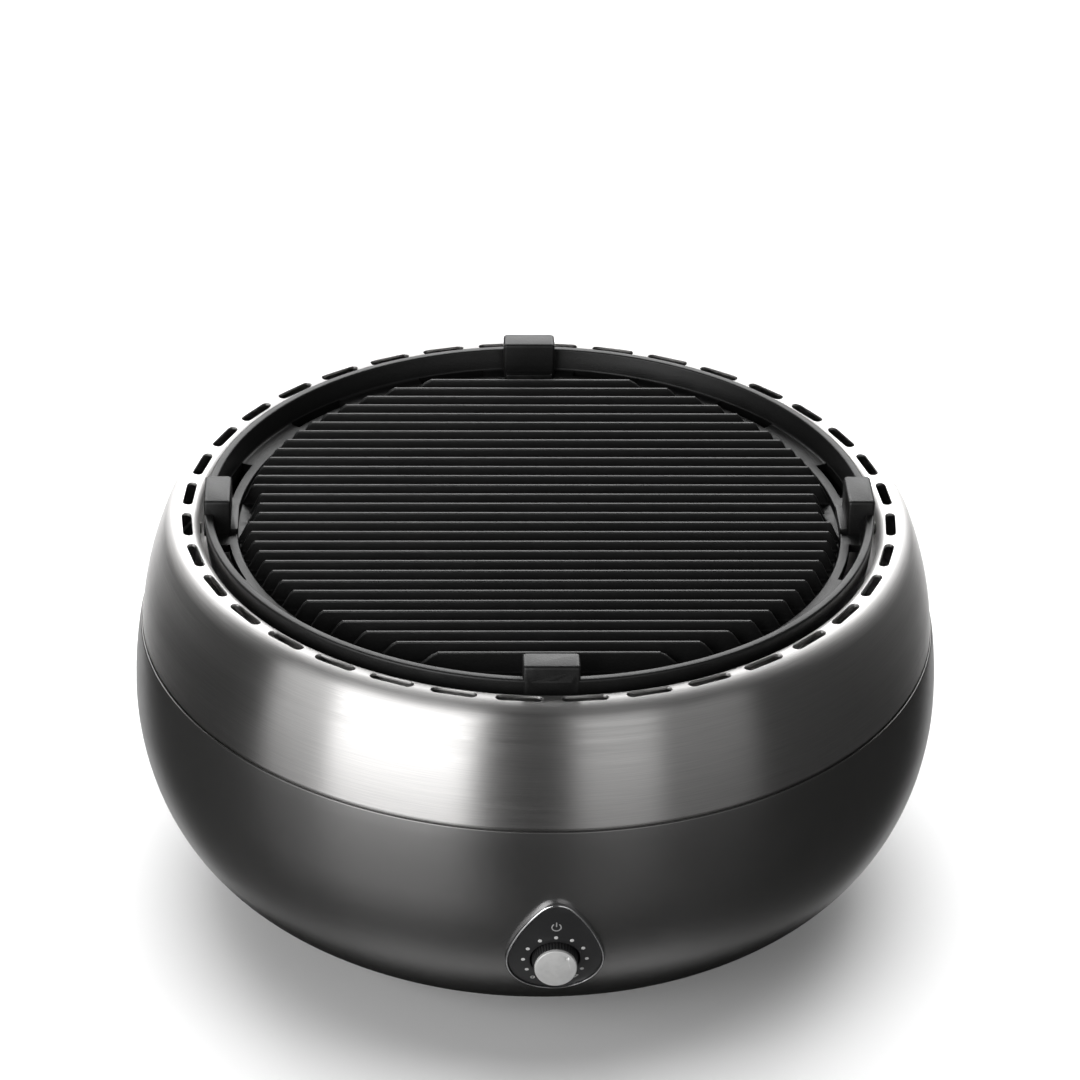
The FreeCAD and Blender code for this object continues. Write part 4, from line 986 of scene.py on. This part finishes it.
# the floor looks matt and pale, and reflects as a dim satin mirror in the steel and paint
floor = {"halfSize": 14.0, "seen": 0.95, "mirrored": 0.19, "gloss": 0.28, "lift": 0.04}


def makeFloor():
    bm = bmesh.new()
    bmesh.ops.create_grid(bm, x_segments=8, y_segments=8, size=floor["halfSize"])
    mesh = bpy.data.meshes.new("floor")
    bm.to_mesh(mesh)
    bm.free()
    floorObject = bpy.data.objects.new("floor", mesh)
    scene.collection.objects.link(floorObject)
    material = bpy.data.materials.new("paleFloor")
    material.use_nodes = True
    tree = material.node_tree
    shader = tree.nodes["Principled BSDF"]
    shader.inputs["Specular IOR Level"].default_value = 0.0
    shader.inputs["Emission Color"].default_value = (1.0, 1.0, 1.0, 1.0)
    path = addNode(tree, "ShaderNodeLightPath")
    mix = addNode(tree, "ShaderNodeMix", data_type="RGBA")
    tree.links.new(path.outputs["Is Camera Ray"], mix.inputs["Factor"])
    mix.inputs[6].default_value = (floor["mirrored"],) * 3 + (1.0,)
    mix.inputs[7].default_value = (floor["seen"],) * 3 + (1.0,)
    tree.links.new(mix.outputs[2], shader.inputs["Base Color"])
    unseen = addMath(tree, "SUBTRACT", 1.0, path.outputs["Is Camera Ray"])
    tree.links.new(unseen, shader.inputs["Metallic"])
    rough = addMath(tree, "ADD", floor["gloss"], path.outputs["Is Camera Ray"], clamp=True)
    tree.links.new(rough, shader.inputs["Roughness"])
    lift = addMath(tree, "MULTIPLY", path.outputs["Is Camera Ray"], floor["lift"])
    tree.links.new(lift, shader.inputs["Emission Strength"])
    mesh.materials.append(material)
    return floorObject


# each softbox: direction in degrees from the front, distance, height, width, tall, brightness
softboxes = {
    "overhead": (180.0, 0.3, 2.7, 2.8, 2.8, 3.6),
    "back": (180.0, 2.4, 1.5, 3.4, 1.9, 3.6),
    "leftFront": (-38.0, 1.8, 0.72, 1.36, 1.5, 3.0),
    "leftSide": (-68.0, 2.0, 0.8, 0.7, 1.5, 1.1),
    "rightFront": (20.0, 2.0, 0.8, 0.85, 1.5, 0.9),
    "rightSide": (46.0, 2.0, 0.8, 0.9, 1.5, 0.3),
}


studio = {"aimHeight": 0.15, "surround": 0.07}


def makeLights(floorObject):
    for name, (direction, distance, height, width, tall, brightness) in softboxes.items():
        light = bpy.data.lights.new(name, "AREA")
        light.shape = "RECTANGLE"
        light.size = width
        light.size_y = tall
        light.energy = brightness * math.pi * width * tall
        angle = math.radians(direction)
        place = Vector((distance * math.sin(angle), -distance * math.cos(angle), height))
        lamp = bpy.data.objects.new(name, light)
        lamp.location = place
        aim = Vector((0, 0, studio["aimHeight"])) - place
        lamp.rotation_euler = aim.to_track_quat("-Z", "Y").to_euler()
        scene.collection.objects.link(lamp)
        if name == "overhead":  # lights the floor alone
            lit = bpy.data.collections.new("overheadReceives")
            lit.objects.link(floorObject)
            lamp.light_linking.receiver_collection = lit
    world = bpy.data.worlds.new("studio")
    scene.world = world
    world.use_nodes = True
    background = world.node_tree.nodes["Background"]
    background.inputs["Color"].default_value = (1.0, 1.0, 1.0, 1.0)
    background.inputs["Strength"].default_value = studio["surround"]
    scene.view_settings.view_transform = "Standard"


makeCamera()
makeLights(makeFloor())
print("camera, floor and light ready")
